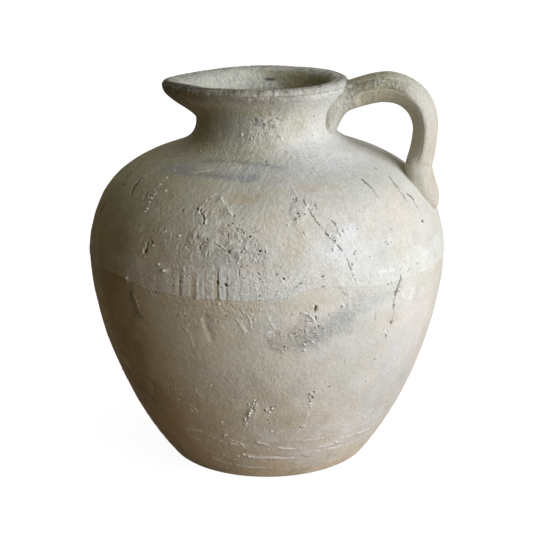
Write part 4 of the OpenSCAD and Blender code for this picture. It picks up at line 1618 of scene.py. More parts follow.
    def edges(self, azimuth: np.ndarray) -> tuple[np.ndarray, np.ndarray]:
        """Heights of the band's crisp lower edge and of its wiped upper edge, round the pot.

        Args:
            azimuth: angles round the pot, in degrees.

        Returns:
            The lower and the upper height at each angle, in millimetres.
        """
        circle = columns(np.cos(np.radians(azimuth)), np.sin(np.radians(azimuth)), 0 * azimuth) * 170
        low = self.laid(azimuth, self.edge) + 0.4 * noise(circle, 9, 141) + 0.5 * noise(circle, 3.5, 142)
        high = self.band_high + 3.5 * noise(circle, 45, 143) + 1.5 * noise(circle, 12, 144)
        return low, high

    def band(self) -> bpy.types.Object:
        """Slip wiped round over the joint: crisp below, feathered out above, dragged by the tool.

        Returns:
            The finished object.
        """
        pot, joint = self.pot, self.pot.joint_z
        front = pot.stretch(pot.line, self.band_low, self.band_high, 1.3) + (1.0, 0)
        below = pot.stretch(pot.line, self.band_low, joint - self.groove, 3.0) - (1.0, 0)
        above = pot.stretch(pot.line, joint + self.groove, self.band_high, 3.0) - (1.0, 0)
        back = np.vstack([below, self.notch(), above])
        bm = turned(np.vstack([front, back[::-1]]))
        places = spots(bm)
        keep(bm, "share", (places[:, 2] - self.band_low) / (self.band_high - self.band_low))
        keep(bm, "depth", pot.radius(places[:, 2]) - radii(places))

        def closeness(points: np.ndarray) -> np.ndarray:
            """Distance from the marks and the fingers, on the outside only."""
            fingers = np.where(np.abs(azimuths(points) + 7.5) < 11, -1.0, FAR)
            near = np.minimum(self.wear.closeness(points), fingers)
            return np.where(radii(points) < pot.radius(points[:, 2]), FAR, near)

        refined(bm, closeness)
        places, share, depth = spots(bm), values(bm, "share"), values(bm, "depth")
        azimuth = azimuths(places)
        low, high = self.edges(azimuth)
        held = (np.abs(places[:, 2] - joint) < 0.01) & (depth > 2)
        places[:, 2] = np.where(held, joint, low + share * (high - low))
        shown = depth < 0
        even = places.copy()
        even[:, :2] *= (pot.radius(even[:, 2]) / radii(even))[:, None]
        facing = self.facing(even)[0]
        skin = self.wear.dress(even, np.ones(len(even)))
        across = columns(azimuth * 3 / 2.6, places[:, 2] / 30, 0 * azimuth)
        drag = noise(across, 1.0, 145) * 0.12 + noise(across, 3.1, 146) * 0.1
        fading = ease(0.55, 0.95, share)
        level = self.laid(azimuth, self.fingers) * (1 - fading) + 0.5 * fading
        proud = self.band_proud * (0.2 + level) * (1 - share) ** 0.7 - 0.55 * ease(0.6, 1.0, share)
        lift = skin.lift + proud + 1.2 * drag * (1 - 0.6 * share)
        lift += 0.35 * noise(even, 8, 147) * ease(0.6, 1, share)
        paler = 1 - ease(0.5, 0.95, share + 0.2 * noise(even, 10, 148))
        paler = paler * (0.75 + 0.25 * noise(even, 20, 149))
        # paler slip where the fingers stand proud; the lighter ridges and darker gaps between them are partly
        # painted light and shade
        skin.stain(Clay.SLIP, unit(0.85 * level * paler))
        skin.tint *= (1 + 0.35 * drag)[:, None]
        skin.roughen(0.35 * paler * (1 - 0.6 * ease(18, 42, azimuth)))
        # painted highlight along the band's crisp lower edge
        skin.whiten(0.5 * hump(share, 0.03, 0.04) * unit(0.4 + noise(even, 7, 150)))
        skin.lift = np.where(shown, lift, np.where(depth > 2, -depth, skin.lift - 1.6))
        return Piece("seam_band", "joint_band", "pale_slip").add(bm, even, facing, skin)

    def build(self) -> list[bpy.types.Object]:
        """Makes every piece of the hollow body."""
        return [self.foot(), self.lower_wall(), self.upper_wall(), self.band(), *self.coils(), self.neck()]


# ---------------------------------------------------------------- the rim and its spout

class LipWear:
    """The wear of the rim: wash and smoke in the throat, a darker front on the crest, limewash on the lip, and
    painted light and shade in the throat, along the lip and under it.
    """

    def __init__(self, skin: Skin, share: np.ndarray, azimuth: np.ndarray, dark_edge: tuple[Place, ...]) -> None:
        """Works out the zones and the noise that the wear follows.

        Args:
            skin: the rim's skin so far.
            share: where in the section each point is: 0 throat, 1 crest, 2 under the lip, 3 collar.
            azimuth: degrees round the pot of each point.
            dark_edge: azimuths, and how far the dark edge reaches down the lip there.
        """
        places = skin.points
        self.skin, self.share, self.azimuth = skin, share, azimuth
        self.ripple, self.patchy = noise(places, 5, 151), layered(places, 16, 152)
        self.scrape = noise(columns(azimuth * 1.4 / 1.5, places[:, 2] / 9, 0 * azimuth), 1.0, 153)
        self.inside = 1 - ease(0.86, 0.98, share)
        # where the lamp falls into the throat beside the spout; it sets painted light there and painted shade
        # away from it
        self.light = 1 - ease(62, 86, apart(azimuth, -103) + 14 * self.patchy + 30 * (share - 0.4))
        # the side away from the lamp, which gets painted shade on the lip
        self.left = 1 - ease(-5, 40, azimuth + 12 * self.patchy)
        turns, widths = zip(*dark_edge)
        self.reach = np.interp(azimuth, turns, widths) * (1 + 0.35 * self.ripple) + 0.001

    def throat(self) -> None:
        """Wash and smoke inside, with painted light where the lamp falls in beside the spout and painted shade
        away from it.
        """
        skin, share, inside, light = self.skin, self.share, self.inside, self.light
        skin.stain(Clay.OLIVE, 0.8 * inside * ease(0.0, 0.2, share))
        # painted light: pale wash and a brighter tint where the lamp falls into the throat
        skin.stain(Clay.SLIP, 0.85 * inside * light * ease(0.05, 0.3, share))
        skin.tint *= (1 + 0.15 * inside * light)[:, None]
        skin.stain(Clay.OLIVE, 0.25 * inside * light)
        # blue-grey patches, heavier away from the lamp, partly painted shade
        patches = ease(0.2, 0.45, layered(skin.points, 13, 154))
        skin.stain(Clay.BLUE_GREY, (0.5 - 0.3 * light) * inside * patches)
        skin.stain(Clay.SMOKE, 0.4 * inside * ease(0.38, 0.55, layered(skin.points, 7, 157)))
        # painted shade: the throat is darker away from the lamp
        skin.tint *= (1 - 0.12 * inside * (1 - light))[:, None]

    def crest(self) -> None:
        """Cream wash on the crest, darker along its front, with patches of smoke that are heavier away from the
        lamp, which is painted shade.
        """
        skin, share = self.skin, self.share
        crest = ease(0.66, 0.76, share) * (1 - ease(1.0, 1.06, share))
        skin.stain(Clay.CREAM, 0.8 * crest)
        front_dark = 0.2 * crest * ease(-0.1, 0.4, self.scrape) * (1 - ease(50, 90, np.abs(self.azimuth)))
        skin.stain(Clay.SOOT, 0.9 * unit(front_dark))
        patches = ease(0.0, 0.25, layered(skin.points, 9, 158))
        # painted shade: the smoke is heavier where the lamp does not fall
        skin.stain(Clay.SMOKE, (0.65 - 0.35 * self.light) * crest * patches)

    def arris(self) -> None:
        """A dark line along the lip's upper edge, wider towards the spout, and darker on the side away from the
        lamp, which is painted shade.
        """
        arris = ease(-97, -86, self.azimuth) * ease(0.96, 1.02, self.share)
        arris = arris * (1 - ease(0, 0.12, self.share - 1 - self.reach))
        arris = arris * (1 - ease(60, 100, apart(self.azimuth, -45)))
        arris = arris * unit(0.7 + 0.3 * self.left + 0.6 * self.scrape)
        self.skin.stain(Clay.SOOT, 0.9 * arris * (0.55 + 0.45 * self.left))
        self.skin.darken(0.25 * arris * self.left)

    def face(self) -> None:
        """Scraped limewash on the lip's face, nicked above and broken along its lower edge, with painted shade:
        darker clay on the side away from the lamp, dark in the notch and grooves, and a painted shadow under
        the lip.
        """
        skin, share, left = self.skin, self.share, self.left
        ripple, patchy, scrape = self.ripple, self.patchy, self.scrape
        tip = 1 - ease(16, 42, apart(self.azimuth, -86) + 12 * patchy)
        tip = tip * ease(1.0, 1.1, share) * (1 - ease(2.3, 2.9, share))
        below = 1 - ease(1.86, 1.95, share + 0.05 * ripple + 0.03 * scrape)
        face = ease(0, 0.1, share - 1.04 - self.reach) * below
        skin.stain(Clay.CREAM, 0.5 * face)
        # painted shade: bare clay and dark stain are heavier on the side away from the lamp
        skin.stain(Clay.BARE, (0.35 + 0.35 * left) * face * unit(0.8 + 0.7 * patchy))
        skin.stain(Clay.SOOT, 0.32 * face * ease(0.0, 0.5, -scrape) * (0.35 + 0.65 * left))
        skin.stain(Clay.SOOT, 0.75 * tip * unit(0.8 + 0.6 * scrape))
        # painted shadow under the lip's overhang
        under_lip_shadow = ease(1.88, 2.0, share) * (1 - ease(2.45, 2.9, share))
        under_lip_shadow = under_lip_shadow * (1 - ease(40, 80, apart(self.azimuth, -30)))
        skin.stain(Clay.BARE, 0.5 * under_lip_shadow * unit(0.85 + 0.6 * patchy))
        skin.stain(Clay.SOOT, 0.45 * under_lip_shadow * (1 - ease(2.1, 2.4, share)) * unit(0.7 + patchy))
        nicks = hump(share, 1.1, 0.1) * ease(0.25, 0.5, layered(skin.points, 5, 156))
        groove = unit(-scrape - 0.05) ** 0.5 * face
        ragged = hump(share - 1.97 + 0.05 * ripple, 0, 0.03)
        ragged = ragged * unit(0.2 + layered(skin.points, 8, 155))
        skin.lift += 0.4 * face - 0.55 * groove - 0.8 * ragged - 0.8 * nicks
        # painted shade in the notch along the lip's lower edge and in the scraped grooves
        skin.darken(0.65 * ragged)
        skin.darken(0.55 * ease(0.45, 0.75, groove) * ease(0, 0.4, patchy + 0.25))
        skin.whiten(0.65 * face * ease(0.05, 0.5, scrape + 0.3 * ripple) * (1 - 0.4 * tip))
        skin.whiten(0.5 * nicks)
        skin.roughen(np.maximum(face, 0.6 * self.inside))

    def slit(self) -> None:
        """The slit in the throat, with painted shade in it."""
        height = self.skin.points[:, 2] - 368.3 + 0.3 * self.ripple
        slit = np.hypot(apart(self.azimuth, -176.5) / 7.5, height / 0.9)
        self.skin.lift -= 1.2 * unit(1 - slit) * self.inside
        self.skin.darken(unit(1.5 - 1.4 * slit) * self.inside)


@dataclass
class Rim:
    """The flared rim with a rolled lip, pinched out into a spout at -X."""
    pot: Outline
    wear: Weathering
    crest_r: float = 74.0
    crest_z: float = field(default_factory=lambda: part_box("rim")[1].z / MM)
    lip_r: float = 82.2
    tip_r: float = 101.6
    tip_z: float = 371.4
    spread: float = 17.0
    counts: tuple[int, int, int] = (18, 13, 22)
    dark_edge_reach: tuple[Place, ...] = (
        (-100, 0.0), (-80, 0.4), (-60, 0.5), (-38, 0.4), (-30, 0.24), (-22, 0.12), (-10, 0.06),
        (20, 0.02), (80, 0.0))

    def curves(self) -> tuple[np.ndarray, np.ndarray]:
        """Control points of the section away from the spout and at its tip.

        Returns:
            Both sections, point for point, in millimetres.
        """
        throat = np.array([float(self.pot.inner_radius(self.pot.rim_z)), self.pot.rim_z])
        collar = np.array([float(self.pot.radius(self.pot.rim_z)), self.pot.rim_z])
        tip = np.array([self.tip_r, self.tip_z])
        crest, lip, top = self.crest_r, self.lip_r, self.crest_z
        plain = np.array([
            throat, throat + (0.2, 22), (crest - 13, top), (crest, top), (lip - 2.2, top), (lip + 0.4, top - 3),
            (lip, top - 6.8), (lip - 0.7, top - 14.5), collar + (2.2, 17), collar])
        spout = np.array([
            throat, throat + (4.4, 12), tip + (-21.6, 5.4), tip + (-5.1, 5.4), tip + (-1.8, 5.4),
            tip + (0.2, 3.1), tip, tip + (-0.4, -10.4), collar + (14.7, 8.5), collar])
        return plain, spout

    def section(self, share: np.ndarray, pinch: np.ndarray) -> np.ndarray:
        """Points of the rim's section.

        Args:
            share: 0 at the throat, 1 on the crest, 2 under the lip, 3 at the collar.
            pinch: 0 away from the spout, 1 at its tip.

        Returns:
            (radius, height) for each.
        """
        plain, spout = self.curves()
        part = np.clip(np.floor(share), 0, 2).astype(int)
        pull = [plain[3 * part + i] + pinch[:, None] * (spout - plain)[3 * part + i] for i in range(4)]
        return bezier(*pull, share - part)

    def dress(self, places: np.ndarray, share: np.ndarray, azimuth: np.ndarray) -> Skin:
        """Limewash on the lip's face, a darker front on the crest, the lining's wash and smoke, and painted
        light and shade in the throat, along the lip and under it.

        Args:
            places: places, in millimetres, one row each.
            share: how far along the section each place is.
            azimuth: its angle round the pot, in degrees.

        Returns:
            The skin over those places.
        """
        skin = self.wear.dress(places, ease(0.35, 0.9, share))
        wear = LipWear(skin, share, azimuth, self.dark_edge_reach)
        for layer in (wear.throat, wear.crest, wear.arris, wear.face, wear.slit):
            layer()
        return skin

    def build(self) -> list[bpy.types.Object]:
        """Makes the rim.

        Returns:
            The finished objects.
        """
        thirds = [np.linspace(i, i + 1, n, endpoint=False) for i, n in enumerate(self.counts)]
        shares = close_ends(np.concatenate([*thirds, [3.0]]))
        bm = turned(self.section(shares, np.zeros(len(shares))))
        share = np.interp(values(bm, ALONG), np.arange(len(shares)), shares)
        azimuth = azimuths(spots(bm))
        profile = self.section(share, np.exp(-(apart(azimuth, -90) / self.spread) ** 2 / 2))
        sag = hump(apart(azimuth, -46), 0, 20) * ease(0.5, 0.95, share) * (1 - ease(2.2, 3.0, share))
        profile[:, 1] -= 1.9 * sag
        turn = np.radians(azimuth)
        places = columns(profile[:, 0] * np.sin(turn), -profile[:, 0] * np.cos(turn), profile[:, 1])
        for vert, co in zip(bm.verts, places):
            vert.co = co
        out = normals(bm)
        ends = (share < 0.001) | (share > 2.999)
        level = np.concatenate([places[ends, :2] / profile[ends, :1], np.zeros((ends.sum(), 1))], axis=1)
        out[ends] = level * np.where(share[ends] > 1, 1, -1)[:, None]
        skin = self.dress(places, share, azimuth)
        return [Piece("rim_lip", "rim", "limewashed_clay").add(bm, places, out, skin)]


# ---------------------------------------------------------------- the handle

class StrapWear:
    """The wear of the handle: its washes, the tool's lines and the rough strip near its top edge, with painted
    shade on its inner side, in its furrows and pits, and where it meets the shoulder.
    """

    def __init__(self, skin: Skin, turn: np.ndarray, run: np.ndarray, length: float) -> None:
        """Works out the zones and the noise that the wear follows.

        Args:
            skin: the strap's bare skin.
            turn: degrees round the section; 0 is outwards and -90 is the -Y side.
            run: millimetres along the strap from the root; less than 0 on the top lute.
            length: the strap's own length, in millimetres.
        """
        self.skin, self.run, self.low = skin, run, run - length
        self.near = (turn + 180) % 360 - 180
        self.cloud, self.small = layered(skin.points, 34, 161), layered(skin.points, 11, 162)
        self.crumb = layered(skin.points, 3.2, 170)
        self.inner = ease(92, 108, np.abs(self.near) + 5 * self.small)
        self.lute = 1 - ease(-6, 6, run)

    def clay(self) -> None:
        """Uneven clay, bare and ochre on the inner side, which faces away from the lamp and is partly painted
        shade, smoked on the top lute.
        """
        skin, inner, lute = self.skin, self.inner, self.lute
        skin.lift = 0.45 * noise(skin.points, 40, 163) + 0.22 * noise(skin.points, 15, 164) + 0.1 * self.small
        skin.tint = skin.tint * (1 + 0.06 * self.cloud + 0.05 * self.small)[:, None]
        skin.stain(Clay.OCHRE, 0.2 * inner * (1 - lute))
        skin.stain(Clay.BARE, 0.45 * inner * ease(0.1, 0.5, self.cloud + 0.6) * ease(-30, -8, self.run))
        skin.stain(Clay.OCHRE, 0.3 * ease(0.1, 0.7, layered(skin.points, 26, 165)) * (1 - lute))
        skin.stain(Clay.SMOKE, 0.3 * lute)
        skin.stain(Clay.PEACH, 0.2 * lute)

    def strip(self) -> None:
        """The rough strip under the top edge, and the flaky end of it at the root."""
        skin, near, run, crumb = self.skin, self.near, self.run, self.crumb
        top_run = ease(-14, 0, run) * (1 - ease(46, 60, run + 6 * self.cloud))
        strip = ease(-97, -92, near + 3 * self.small) * (1 - ease(-66, -60, near)) * top_run
        blotch = layered(skin.points, 8, 166)
        bars = noise(columns(run / 1.3, near / 30, 0 * run), 1.0, 172)
        skin.rough = 0.05 + 0.35 * (1 - ease(40, 90, run)) + 0.4 * strip
        skin.lift -= strip * (0.4 + 0.2 * np.clip(blotch, -0.5, 1) - 0.35 * crumb - 0.25 * bars)
        skin.stain(Clay.OLIVE, 0.6 * (1 - ease(30, 64, run)) * (1 - 0.7 * self.lute) * (1 - 0.6 * self.inner))
        skin.stain(Clay.BARE, 0.35 * strip)
        skin.stain(Clay.SMOKE, 0.2 * strip * ease(-0.3, 0.3, blotch))
        flaky = ease(-22, -4, run) * (1 - ease(8, 18, run))
        flaky = flaky * ease(-105, -60, near) * (1 - ease(-50, -30, near))
        skin.lift += 0.5 * flaky * crumb
        skin.whiten(0.5 * strip * ease(0.25, 0.6, bars + 0.3 * blotch) * ease(-0.3, 0.3, blotch))
        skin.whiten(0.95 * flaky * ease(0.15, 0.4, crumb))
        # painted shade in the low spots between the crumbs of the strip
        skin.darken(0.6 * np.maximum(0.6 * strip, flaky) * ease(0.2, 0.5, -crumb))

    def contact_shade(self) -> None:
        """Painted shade, in bare clay's colour, along the line where the strap all but meets the shoulder."""
        contact_shade = hump(self.near, -97, 9) * ease(20, 34, self.low) * (1 - ease(58, 72, self.low))
        self.skin.stain(Clay.BARE, 0.8 * contact_shade)

    def scored(self, furrows: tuple[tuple[float, ...], ...]) -> None:
        """The furrows of the pulling hand and its tool, with painted shade in them.

        Args:
            furrows: one row of numbers for each furrow.
        """
        skin, run = self.skin, self.run
        wander = 2.2 * noise(skin.points, 22, 167)
        for at, depth, width, start, stop in furrows:
            gap = np.abs(self.near - at + wander) * 0.33
            score = unit(1.25 - gap / width) * ease(start, start + 6, run)
            score *= 1 - ease(stop - 8, stop, run)
            skin.lift -= depth * score
            skin.darken(0.7 * depth * score * unit(0.6 + noise(skin.points, 9, 171)))

    def pitted(self) -> None:
        """Pinholes in two sizes, with painted shade in them, fewer near the tail."""
        skin = self.skin
        for seed, size, amount in ((168, 3.2, 0.75), (169, 2.2, 0.9)):
            crowd = ease(0.0, 0.6, noise(skin.points, 30, seed + 2) + 0.25)
            pits = ease(0.62, 0.85, noise(skin.points, size, seed)) * crowd
            pits *= 1 - 0.7 * ease(-20, 10, self.low)
            skin.lift -= 0.6 * pits
            skin.darken(amount * pits * 0.7)

    def worn(self) -> None:
        """Tan clay where the handle is held."""
        skin, run = self.skin, self.run
        skin.stain(Clay.TAN, 0.6 * (hump(np.abs(self.near), 10, 35) * ease(60, 100, run)))
        skin.stain(Clay.TAN, 0.3 * ease(40, 90, run))
        skin.tint *= (1 - 0.13 * ease(30, 80, run))[:, None]


@dataclass
class Strap:
    """The pulled handle, arching from beside the rim down to the shoulder, and its two lutes."""
    pot: Outline
    wear: Weathering
    arch: Place = (119.0, 372.2)
    drop: Place = (157.3, 333.0)
    width: float = 40.0
    spacing: float = 1.6
    round_points: int = 100
    root_dir: float = 16.0
    tail_dir: float = -105.0
    furrows: tuple[tuple[float, ...], ...] = (  # degrees round, depth, width, where it starts and stops
        (-60, 0.8, 0.7, -6, 58), (-94, 0.6, 0.8, 2, 54), (-72, 0.4, 0.6, 6, 46), (-97, 0.5, 0.9, 60, 128),
        (26, 0.5, 0.8, 10, 80))

    def __post_init__(self) -> None:
        """Lays out the middle line, its directions and thicknesses."""
        arch, drop = np.array(self.arch), np.array(self.drop)
        self.root = np.array([88.0, self.arch[1] - 6.5])
        self.tail = drop - (4.8, 31.7)
        root_dir, tail_dir = polar(1, self.root_dir), polar(1, self.tail_dir)
        share = np.linspace(0, 1, 60)
        line = np.vstack([bezier(self.root, self.root + 10 * root_dir, arch - (10, 0), arch, share),
                          bezier(arch, arch + (23.5, 0), drop + (0, 22), drop, share)[1:],
                          bezier(drop, drop - (0, 11), self.tail - 10 * tail_dir, self.tail, share)[1:]])
        run = run_along(line)
        count = round(run[-1] / self.spacing)
        stops = close_ends(np.linspace(0, run[-1], count + 1))
        self.run = stops
        self.line = columns(*(np.interp(stops, run, row) for row in line.T))
        self.part = np.interp(stops, run, np.linspace(0, 3, len(line)))
        step = columns(*(np.gradient(row, stops) for row in self.line.T))
        self.heading = step / np.linalg.norm(step, axis=1)[:, None]
        self.heading[0], self.heading[-1] = root_dir, tail_dir
        self.thick = np.interp(self.part, [0, 1, 1.5, 2, 3], [27.2, 28.8, 27.2, 23.4, 26.0])

    def ring(self, outer: np.ndarray, inner: np.ndarray, half: float, ridge: float = 0.0, shaped: float = 1.0,
             keel: float = 0.0) -> np.ndarray:
        """One section of the strap.

        Args:
            outer, inner: its ends in the handle's plane, (x, z).
            half: half its width.
            ridge: how far the widest line sits outwards of the middle, as a share.
            shaped: 1 for a flattened top and a narrower underside, 0 for the same all round.
            keel: how far the sides draw out to a blunt ridge, 0 to 1.

        Returns:
            Points round the section, from the outer end towards +Y.
        """
        turn = np.linspace(0, 2 * math.pi, self.round_points, endpoint=False)
        c, s = np.cos(turn), np.sin(turn)
        power = 2 / (2.6 + shaped * np.where(c > 0, 0.5, -0.55))
        arm, middle = (outer - inner) / 2, (outer + inner) / 2
        reach = np.sign(c) * np.abs(c) ** power
        sharp = (1 - unit(np.sqrt(reach ** 2 + 0.004) - 0.06) ** 1.3) ** 0.75
        reach = ridge + np.where(c > 0, 1 - ridge, 1 + ridge) * reach
        side = np.sign(s) * ((1 - keel) * np.abs(s) ** power + keel * sharp) * half
        spot = middle + arm * reach[:, None]
        return columns(spot[:, 0], side, spot[:, 1])

    def ends(self, spot: np.ndarray, heading: np.ndarray, thick: float) -> tuple[np.ndarray, np.ndarray]:
        """The outer and inner points of the strap's edge at a place on its middle line."""
        across = np.array([-heading[1], heading[0]]) * thick / 2
        return spot + across, spot - across

    def texture(self, places: np.ndarray, turn: np.ndarray, run: np.ndarray) -> Skin:
        """The skin of the strap at some places, degrees round it and millimetres along it.

        Args:
            places: places, in millimetres, one row each.
            turn: degrees round the strap.
            run: millimetres along it.

        Returns:
            The skin over those places.
        """
        skin = Skin(places)
        wear = StrapWear(skin, turn, run, float(self.run[-1]))
        wear.clay()
        wear.strip()
        wear.contact_shade()
        wear.scored(self.furrows)
        wear.pitted()
        wear.worn()
        return skin

    def finish(self, piece: Piece, rings: list[np.ndarray], runs: np.ndarray) -> bpy.types.Object:
        """Sweeps, closes and weathers one part of the strap.

        Args:
            piece: what it is.
            rings: its sections, in order.
            runs: distance along the strap of each ring.

        Returns:
            The piece's object.
        """
        bm = swept(rings)
        places, out = spots(bm), normals(bm)
        along, turn = values(bm, ALONG), values(bm, TURN)
        skin = self.texture(places, turn, np.interp(along, np.arange(len(rings)), runs))
        ring = bm.verts.layers.float[ALONG]
        for end in (0, len(rings) - 1):
            edges = [e for e in bm.edges if e.is_boundary and all(abs(v[ring] - end) < 0.5 for v in e.verts)]
            bmesh.ops.holes_fill(bm, edges=edges, sides=0)
        bmesh.ops.recalc_face_normals(bm, faces=bm.faces)
        return piece.add(bm, places, out, skin)

    def strap(self) -> bpy.types.Object:
        """The handle's own strap, between its two lutes.

        Returns:
            The finished object.
        """
        rings = []
        fades = ease(0, 0.25, self.part) * (1 - ease(2.6, 3.0, self.part))
        ridges = (0.1 + 0.15 * (1 - ease(0.9, 1.9, self.part))) * fades
        keels = (0.4 + 0.45 * ease(1.0, 1.8, self.part)) * fades
        for row in zip(self.line, self.heading, self.thick, ridges, fades, keels):
            rings.append(self.ring(*self.ends(*row[:3]), self.width / 2, *row[3:]))
        return self.finish(Piece("handle_strap", "handle", "limewashed_clay"), rings, self.run)

    def lute(self, piece: Piece, outer: np.ndarray, inner: np.ndarray, halves: list[float], count: int,
             start: float, sign: float) -> bpy.types.Object:
        """Clay smeared from one end of the strap onto the pot.

        Args:
            piece: what it is.
            outer, inner: four control points of the outer and inner edges.
            halves: four control values of half the width.
            count: number of sections.
            start: distance along the strap where the lute begins.
            sign: 1 if distances grow away from the strap, -1 if they fall.

        Returns:
            The lute's object.
        """
        share = close_ends(np.linspace(0, 1, count))
        outs, ins = bezier(*outer, share), bezier(*inner, share)
        wide = bezier(*[np.array([h]) for h in halves], share)[:, 0]
        rings = [self.ring(o, i, w, 0.0, 0.0) for o, i, w in zip(outs, ins, wide)]
        return self.finish(piece, rings, start + sign * run_along((outs + ins) / 2))

    def build(self) -> list[bpy.types.Object]:
        """Makes the strap and both lutes.

        Returns:
            The finished objects.
        """
        pot, half = self.pot, self.width / 2
        root_dir, tail_dir = polar(1, self.root_dir), polar(1, self.tail_dir)
        top, under = self.ends(self.root, root_dir, self.thick[0])
        front, back = self.ends(self.tail, tail_dir, self.thick[-1])
        arch_z, waist = self.arch[1], np.array([pot.waist_r, pot.waist_z])
        upper = self.lute(
            Piece("handle_root", "handle_top_lute", "pale_slip"),
            np.array([top, top - 8 * root_dir, (66, arch_z + 2), (60, arch_z)]),
            np.array([under, under - 18 * root_dir, waist + (8, -3), waist - (3, 26)]),
            [half, half + 0.5, 27.0, 22.0], 34, 0.0, -1.0)
        lower = self.lute(
            Piece("handle_tail", "handle_tail_lute", "pale_slip"),
            np.array([front, front + 12 * tail_dir, (179.5, 264), (167, 252)]),
            np.array([back, back + 18 * tail_dir, (138, 268), (156, 252)]),
            [half, 27.0, 31.0, 6.0], 44, float(self.run[-1]), 1.0)
        return [self.strap(), upper, lower]


# ---------------------------------------------------------------- finishes

class Graph:
    """A node tree being wired."""

    def __init__(self, tree: bpy.types.NodeTree) -> None:
        """Takes an empty tree."""
        self.tree = tree

    @classmethod
    def within(cls, owner: bpy.types.Material | bpy.types.World) -> "Graph":
        """The emptied graph of a material or a world.

        Args:
            owner: the material or the world.

        Returns:
            A graph to add nodes to.
        """
        owner.use_nodes = True
        owner.node_tree.nodes.clear()
        return cls(owner.node_tree)

    def node(self, kind: str, feeds: dict[str | int, Feed | Sequence[float]] | None = None,
             **settings: object) -> bpy.types.Node:
        """Adds a node.

        Args:
            kind: the node's type.
            feeds: a socket or a value for each of its inputs, by name or number.
            settings: its own properties.

        Returns:
            The node.
        """
        made = self.tree.nodes.new(kind)
        for name, value in settings.items():
            setattr(made, name, value)
        for name, value in (feeds or {}).items():
            if isinstance(value, bpy.types.NodeSocket):
                self.tree.links.new(value, made.inputs[name])
            else:
                made.inputs[name].default_value = value
        return made

    def math(self, operation: str, first: Feed, *others: Feed) -> bpy.types.NodeSocket:
        """Works one value out of several, two at a time.

        Args:
            operation: the sum's name.
            first: the first value.
            others: the values that follow it.

        Returns:
            The result.
        """
        for other in others:
            first = self.node("ShaderNodeMath", {0: first, 1: other}, operation=operation).outputs[0]
        return first

    def times(self, *feeds: Feed) -> bpy.types.NodeSocket:
        """The product of some values."""
        return self.math("MULTIPLY", *feeds)

    def plus(self, *feeds: Feed) -> bpy.types.NodeSocket:
        """The sum of some values."""
        return self.math("ADD", *feeds)

    def less(self, *feeds: Feed) -> bpy.types.NodeSocket:
        """The first value without the others."""
        return self.math("SUBTRACT", *feeds)

    def most(self, *feeds: Feed) -> bpy.types.NodeSocket:
        """The largest of some values."""
        return self.math("MAXIMUM", *feeds)

    def vector(self, operation: str, first: Feed, second: Feed | Sequence[float]) -> bpy.types.NodeSocket:
        """Works one vector out of two."""
        return self.node("ShaderNodeVectorMath", {0: first, 1: second}, operation=operation).outputs[0]

    def mix(self, share: Feed, first: Feed, second: Feed | Sequence[float],
            blend: str = "MIX") -> bpy.types.NodeSocket:
        """Blends two colours."""
        feeds = {0: share, 6: first, 7: second}
        return self.node("ShaderNodeMix", feeds, data_type="RGBA", blend_type=blend).outputs[2]

    def grey(self, level: Feed) -> bpy.types.NodeSocket:
        """A colour of the same level in every channel."""
        return self.node("ShaderNodeCombineColor", {"Red": level, "Green": level, "Blue": level}).outputs[0]

    def step(self, value: Feed, low: Feed, high: Feed, kind: str = "SMOOTHSTEP") -> bpy.types.NodeSocket:
        """0 where a value is at low, 1 where it is at high."""
        feeds = {"Value": value, "From Min": low, "From Max": high}
        return self.node("ShaderNodeMapRange", feeds, interpolation_type=kind).outputs["Result"]

    def attribute(self, name: str, output: str = "Fac") -> bpy.types.NodeSocket:
        """Reads what each vertex keeps."""
        return self.node("ShaderNodeAttribute", attribute_name=name).outputs[output]

    def space(self, output: str = "Object") -> bpy.types.NodeSocket:
        """The piece's own coordinates."""
        return self.node("ShaderNodeTexCoord").outputs[output]

    def noise(self, size: Feed, detail: Feed) -> bpy.types.NodeSocket:
        """Noise over the piece's own coordinates, in lumps of a size in millimetres."""
        feeds = {"Vector": self.space(), "Scale": self.math("DIVIDE", 1 / MM, size), "Detail": detail}
        return self.node("ShaderNodeTexNoise", feeds).outputs["Fac"]

    def give(self, value: bpy.types.NodeSocket) -> None:
        """Sends a value out of a group."""
        self.tree.links.new(value, self.node("NodeGroupOutput").inputs[0])


